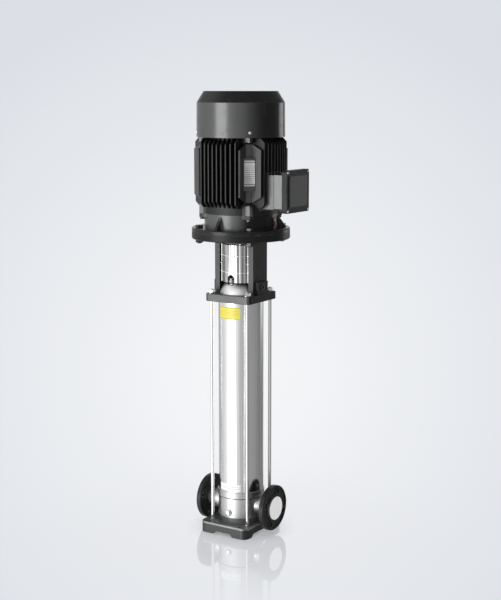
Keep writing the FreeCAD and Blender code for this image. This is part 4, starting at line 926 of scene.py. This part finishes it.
def guard_sheet():
    """The front guard's bent sheet with its two pressed ridges, before it is cut."""
    low, high = low_high("guard_front")
    levels = {low.z, high.z}
    for ridge in GUARD_RIDGES:
        levels.update(ridge + RIDGE_HALF_WIDTH * k / 3 for k in range(-4, 5))

    def bulge(x, y, z):
        near = max(0.0, 1 - min(abs(z - ridge) for ridge in GUARD_RIDGES) / RIDGE_HALF_WIDTH)
        left = (RIDGE_END - abs(math.atan2(x, -y))) / RIDGE_RUNOUT
        end = min(1.0, max(0.0, left))
        return 1 + RIDGE_HEIGHT / GUARD_RADIUS * math.sin(near * FULL / 4) * end
    mesh = bmesh.new()
    outer, inner = guard_path(0.0), guard_path(GUARD_SHEET)
    rows = []
    for z in sorted(levels):
        front = [mesh.verts.new((x * bulge(x, y, z), y * bulge(x, y, z), z)) for x, y in outer]
        back = [mesh.verts.new((x, y, z)) for x, y in inner]
        rows.append(front + back[::-1])
    add_walls(mesh, rows)
    count = len(rows[0])
    for row, flip in ((rows[0], True), (rows[-1], False)):
        for k in range(len(outer) - 1):
            quad = (row[k], row[k + 1], row[count - 2 - k], row[count - 1 - k])
            mesh.faces.new(quad[::-1] if flip else quad)
    return finished_mesh(mesh)


def guards():
    """Both guard sheets, each with its screw holes and the arched notch round the vent plug."""
    high = low_high("guard_front")[1]
    notch, notch_top = 13.5 * MM, GUARD_LOW + 28.0 * MM
    hole, z = 2.8 * MM, middle_height("guard_screws")
    bow = [k * FULL / 64 for k in range(33)]
    arch = [(notch * math.cos(a), notch_top - notch + notch * math.sin(a)) for a in bow]
    outline = [(notch, GUARD_LOW - MM)] + arch + [(-notch, GUARD_LOW - MM)]
    cutters = [upright_prism(outline, -GUARD_RADIUS - 2 * MM, 0)]
    screw = low_high("guard_screws")[1].x - GUARD_SCREW_RADIUS
    for x in (-screw, screw):
        drill = turned([(hole, -MM), (hole, 3 * MM)], 24)
        cutters.append(moved(drill, Matrix.Translation((x, high.y + MM, z)) @ turn_x(FULL / 4)))
    front = carved(guard_sheet(), cutters)
    rear = moved(front.copy(), turn_z(FULL / 2))
    finish = brushed_guard()
    piece("guard_front_sheet", front, "polished_steel", "pump", "guard_front", finish=finish)
    piece("guard_rear_sheet", rear, "polished_steel", "pump", "guard_rear", finish=finish)


# Plugs

def drain_plug():
    """A hexagon head with a thin round collar against the chamber."""
    low = low_high("drain_plug")[0]
    flats, head = 17.0 * MM, 7.0 * MM
    collar, back, side, front = 10.5 * MM, -0.5 * MM, 0.8 * MM, 1.4 * MM
    seat = turned([(collar, back), (collar, side), (collar - 0.7 * MM, front)])
    data = moved(joined([hexagon_head(flats, 0, head), seat]), turn_x(FULL / 4))
    place = Matrix.Translation((0, low.y + head, middle_height("drain_plug")))
    piece("drain_plug_head", moved(data, place), "bright_fastener", "pump", "drain_plug")


def vent_frame():
    """From the vent plug's own axis and seat to the pump: on the dome, leaning to -y."""
    reach, tilt = 54.0 * MM, math.radians(25.0)
    dome, middle = 77.8 * MM, 858.2 * MM
    height = middle + math.sqrt(dome ** 2 - reach ** 2)
    return Matrix.Translation((0, -reach, height)) @ turn_x(tilt)


VENT_HEAD = 17.0 * MM


def vent_plug():
    """The hexagon plug with its round collar."""
    flats, bottom, bore = 19.0 * MM, 2.0 * MM, 4.2 * MM
    collar, top, edge, sunk = 10.7 * MM, 2.2 * MM, 0.6 * MM, -4.0 * MM
    body = hexagon_head(flats, bottom, VENT_HEAD, bore)
    seat = turned([(bore, sunk), (collar, sunk), (collar, 1.0 * MM), (collar, top - edge),
                   (collar - edge, top), (bore, top)], 64, closed=True)
    data = moved(joined([body, seat]), vent_frame())
    piece("vent_plug_body", data, "bright_fastener", "pump", "vent_plug")


def vent_needle():
    """The needle's slotted knob on top of the vent plug."""
    stem, radius, slot, depth = 3.4 * MM, 6.0 * MM, 0.8 * MM, 1.6 * MM
    sunk, under, top = VENT_HEAD - 8.0 * MM, VENT_HEAD + 0.4 * MM, VENT_HEAD + 5.0 * MM
    knob = turned([(stem, sunk), (stem, under), (radius - 0.5 * MM, under),
                   (radius, under + 0.5 * MM), (radius, top - 0.7 * MM), (radius - 0.7 * MM, top)])
    across, floor, sky = radius + MM, top - depth, top + MM
    outline = [(-across, floor), (across, floor), (across, sky), (-across, sky)]
    data = moved(carved(knob, [upright_prism(outline, -slot, slot)]), vent_frame())
    piece("vent_needle_knob", data, "bright_fastener", "vent_needle", "vent_spindle")


# Rating plate and cable gland

def nameplate():
    """The blank rating plate on its corner pad: rounded corners, a pressed rim and four rivets."""
    face, thick, half, sink = 146.0 * MM, 1.0 * MM, 19.0 * MM, 0.35 * MM
    corner, rim, inset = 3.0 * MM, 1.6 * MM, 4.0 * MM
    low, high = low_high("nameplate")
    middle, tall = (low.z + high.z) / 2, (high.z - low.z) / 2

    def outline(shrink):
        points = []
        for quarter, (u, v) in enumerate(((1, 1), (-1, 1), (-1, -1), (1, -1))):
            for k in range(7):
                turn = (quarter + k / 6) * FULL / 4
                bend = corner - shrink
                points.append((u * (half - corner) + bend * math.cos(turn),
                               v * (tall - corner) + bend * math.sin(turn)))
        return points
    mesh = bmesh.new()
    steps = ((0.0, 0.0), (0.0, thick), (rim * 0.6, thick), (rim, thick - sink))
    rows = [[mesh.verts.new((face + depth, u, middle + v)) for u, v in outline(shrink)]
            for shrink, depth in steps]
    add_walls(mesh, rows)
    add_ends(mesh, rows)
    plate = finished_mesh(mesh)
    shank = 1.1 * MM
    rivet = turned([(shank, -0.9 * MM), (shank, 0), (2.0 * MM, 0), (1.9 * MM, 0.35 * MM),
                    (1.3 * MM, 0.6 * MM)], 24)
    points = [(face + thick - sink, u * (half - inset), middle + v * (tall - inset))
              for u in (-1, 1) for v in (-1, 1)]
    rivets = copies(rivet, side_places(points, 0), MATERIALS["plate_silver"])
    data = moved(joined([plate, rivets]), turn_z(-FULL / 8))
    piece("rating_plate", data, "plate_silver", "pump", "nameplate")


def cable_gland():
    """The cable gland: a hexagon body, a ribbed clamping nut and its open mouth."""
    place = (195.0 * MM, 57.0 * MM, 1244.0 * MM)
    flats, nut, length, bore, mouth = 36.0 * MM, 8.0 * MM, 22.0 * MM, 10.0 * MM, 0.6 * MM
    dome, groove, ribs = 14.0 * MM, 0.7 * MM, 24

    def ribbed(angle):
        return dome - groove * (0.5 - 0.5 * math.cos(ribs * angle))
    body = hexagon_head(flats, 0, nut, bore)
    rings = [(bore, nut - MM), (dome - MM, nut - MM), (dome - MM, nut + 0.6 * MM),
             (ribbed, nut + 1.4 * MM), (ribbed, length - 4.0 * MM),
             (dome - 1.6 * MM, length - 1.4 * MM), (dome - 3.0 * MM, length),
             (bore + mouth, length), (bore, length - mouth)]
    cap = turned(rings, 192, closed=True)
    start, end = -9.0 * MM, -0.4 * MM
    flanks = threaded(16.0 * MM, start, end, 1.5 * MM)
    thread = turned([(bore, start)] + flanks + [(bore, end)], 64, closed=True)
    data = moved(joined([body, cap, thread]), turn_x(-FULL / 4))
    data = moved(data, Matrix.Translation(place))
    piece("gland_nut_ribbed", data, "fan_plastic", "pump", "cable_gland")


outer_sleeve()
stay_bolts()
stay_nuts()
stay_washers()
flange_bolts()
flange_nuts()
cowl_screws()
lid_screws()
guard_screws()
guards()
drain_plug()
vent_plug()
vent_needle()
nameplate()
cable_gland()


# Camera, as the photograph was taken: its bearing from the pump, and the way it looks

BEARING = math.radians(33.36)
HEADING = math.radians(32.93)
PITCH = math.radians(9.32)
CAMERA_DISTANCE = 4.5275
CAMERA_HEIGHT = 1.5905
SENSOR_WIDTH = 36.0
FOCAL_PIXELS = 1277.09
PHOTO_PIXELS = 600.0
TOWARDS_CAMERA = (math.sin(BEARING), -math.cos(BEARING), 0.0)
CAMERA_RIGHT = (math.cos(BEARING), math.sin(BEARING), 0.0)


def photo_camera():
    camera = in_scene("camera", bpy.data.cameras.new("camera"))
    x, y = (CAMERA_DISTANCE * c for c in TOWARDS_CAMERA[:2])
    camera.location = (x, y, CAMERA_HEIGHT)
    level = math.cos(PITCH)
    forward = Vector((-math.sin(HEADING) * level, math.cos(HEADING) * level, -math.sin(PITCH)))
    camera.rotation_euler = forward.to_track_quat("-Z", "Y").to_euler()
    camera.data.sensor_width = SENSOR_WIDTH
    camera.data.lens = FOCAL_PIXELS * SENSOR_WIDTH / PHOTO_PIXELS
    camera.data.clip_end = 100.0
    scene.camera = camera


photo_camera()


# Studio: floor, backdrop and light

scene.view_settings.view_transform = "Standard"
scene.view_settings.look = "None"

# How bright the studio is round the pump: degrees to the camera's right, and light.
STUDIO_LIGHT = (
    (-180, 0.84), (-164, 0.80), (-152, 0.44), (-135, 0.50), (-114, 0.62), (-92, 0.90), (-78, 1.0),
    (-72, 1.3), (-64, 2.6), (-56, 3.2), (-44, 3.2), (-36, 2.4), (-30, 1.3), (-24, 1.0),
    (-16, 0.82), (-8, 0.60), (0, 0.56), (20, 0.42), (41, 0.36), (74, 0.33), (100, 0.24),
    (140, 0.23), (152, 0.25), (164, 0.80), (180, 0.84),
)
MOST_LIGHT = max(light for place, light in STUDIO_LIGHT)
KEY_LIGHT = 3.4
RIM_LIGHT = 1.6
FILL_LIGHT = 0.6
TOP_LIGHT = 0.6
CALM_LIGHT = 0.95
CEILING_LIGHT = 0.34
BACKDROP_DIP = math.radians(12.46)
BACKDROP_REACH = math.radians(17.6)
BACKDROP_MIDDLE = (0.925, 0.937, 0.955, 1.0)
BACKDROP_EDGE = (0.712, 0.735, 0.78, 1.0)


def way_round(degrees):
    """Degrees to the camera's right as a share of the circle that starts behind the pump."""
    return 0.5 + degrees / 360.0


class Surround(Shader):
    """The studio round the pump, as a world."""

    def __init__(self, name):
        self.world = bpy.data.worlds.new(name)
        super().__init__(self.world, "ShaderNodeBackground", "ShaderNodeOutputWorld")

    def along(self, direction):
        ray = self.node("ShaderNodeTexCoord", output="Generated")
        settings = {"operation": "DOT_PRODUCT"}
        return self.node("ShaderNodeVectorMath", settings, {0: ray, 1: direction}, "Value")

    def ramp(self, factor, stops):
        """A grey that runs through the (place, brightness) stops."""
        made = self.node("ShaderNodeValToRGB", {}, {"Fac": factor})
        elements = made.socket.node.color_ramp.elements
        while len(elements) < len(stops):
            elements.new(0.5)
        for element, (place, value) in zip(elements, stops):
            element.position = place
            element.color = grey(value)
        return made

    def band(self, turn, low, high, soft):
        """1 between two angles in degrees, fading out over the soft angle on each side."""
        rise = turn.above(way_round(low - soft), way_round(low))
        return rise * turn.below(way_round(high), way_round(high + soft))

    def plain(self, value):
        """A grey of this brightness."""
        return self.node("ShaderNodeCombineColor", {}, {0: value, 1: value, 2: value})


def studio_world():
    """Soft light all round, brightest from a softbox on the camera's left, and a pale backdrop for
    the camera. Heights are sines of the angle above the horizon."""
    room = Surround("studio")
    across, ahead = room.along(CAMERA_RIGHT), room.along(TOWARDS_CAMERA)
    height = room.along((0.0, 0.0, 1.0))
    turn = across.math("ARCTAN2", ahead) / FULL + 0.5

    stops = [(way_round(place), light / MOST_LIGHT) for place, light in STUDIO_LIGHT]
    sides = room.ramp(turn, stops)
    shaded = room.band(turn, 22.0, 116.0, 12.0) * height.above(-0.17, -0.08)
    sides = room.blend(shaded * height.below(0.1, 0.3) * 0.62, sides, grey(0.0))
    calm = room.blend(1.0, sides, grey(CALM_LIGHT / MOST_LIGHT), "DARKEN")
    sides = room.blend(height.above(0.10, 0.20), sides, calm)
    sides = room.blend(height.above(0.42, 0.85), sides, grey(CEILING_LIGHT / MOST_LIGHT))

    level = height.above(-0.22, -0.08) * height.below(0.06, 0.17)
    key = room.band(turn, -64.0, -40.0, 7.0) * level
    rim = room.band(turn, 124.0, 136.0, 7.0) * level
    diffuse = room.node("ShaderNodeLightPath", output="Is Diffuse Ray")
    fill = room.band(turn, 15.0, 110.0, 30.0) * diffuse
    top = room.band(turn, -110.0, -20.0, 30.0) * height.above(0.34, 0.48) * height.below(0.72, 0.84)
    extra = (key * (KEY_LIGHT / MOST_LIGHT) + rim * (RIM_LIGHT / MOST_LIGHT)
             + fill * (FILL_LIGHT / MOST_LIGHT) + top * (TOP_LIGHT / MOST_LIGHT))
    lit = room.blend(1.0, sides, room.plain(extra), "ADD")

    down = Vector((0, 0, math.sin(BACKDROP_DIP)))
    middle = Vector(TOWARDS_CAMERA) * -math.cos(BACKDROP_DIP) - down
    away = room.along(tuple(middle)).math("ARCCOSINE") / BACKDROP_REACH
    paper = room.blend(away.math("MINIMUM", 1.0), BACKDROP_MIDDLE, BACKDROP_EDGE)
    seen = room.node("ShaderNodeLightPath", output="Is Camera Ray")
    room.feed(room.surface.inputs["Color"], room.blend(seen, lit, paper))
    room.feed(room.surface.inputs["Strength"], MOST_LIGHT + (1.0 - MOST_LIGHT) * seen)
    scene.world = room.world


studio_world()

TABLE_RADIUS = 1.4
TABLE_SIDES = 96
TABLE_GLOSS = 0.31
MIRROR_FADE = (0.12, 0.95)
SHADOW_REACH = 0.07
SHADOW_DEPTH = 0.55


def studio_floor():
    """A pale polished table top. It shows a faint mirror image that fades out away from the pump,
    and a soft shadow close to the foot."""
    look = Finish("table_top")
    look.set(Base_Color=(0.9, 0.91, 0.93, 1.0), Metallic=1.0, Roughness=0.04)
    mirror = Wire(look, look.surface.outputs[0])
    gloss = look.reach().below(*MIRROR_FADE) * TABLE_GLOSS
    clear = look.node("ShaderNodeBsdfTransparent")
    dark = look.node("ShaderNodeBsdfDiffuse", {}, {"Color": (0.25, 0.26, 0.28, 1.0)})
    settings = {"samples": 8}
    open_sky = look.node("ShaderNodeAmbientOcclusion", settings, {"Distance": SHADOW_REACH}, "AO")
    shadow = (1.0 - open_sky) * SHADOW_DEPTH
    shade = look.node("ShaderNodeMixShader", {}, {0: shadow, 1: clear, 2: dark})
    mix = look.node("ShaderNodeMixShader", {}, {0: gloss, 1: shade, 2: mirror})
    look.feed(look.output.inputs[0], mix)
    data = bpy.data.meshes.new("table_top")
    angles = [k * FULL / TABLE_SIDES for k in range(TABLE_SIDES)]
    rim = [point for point, turn in ring_places(TABLE_RADIUS, 0.0, angles)]
    data.from_pydata(rim, [], [tuple(range(TABLE_SIDES))])
    data.materials.append(look.material)
    in_scene("table_top", data)


studio_floor()
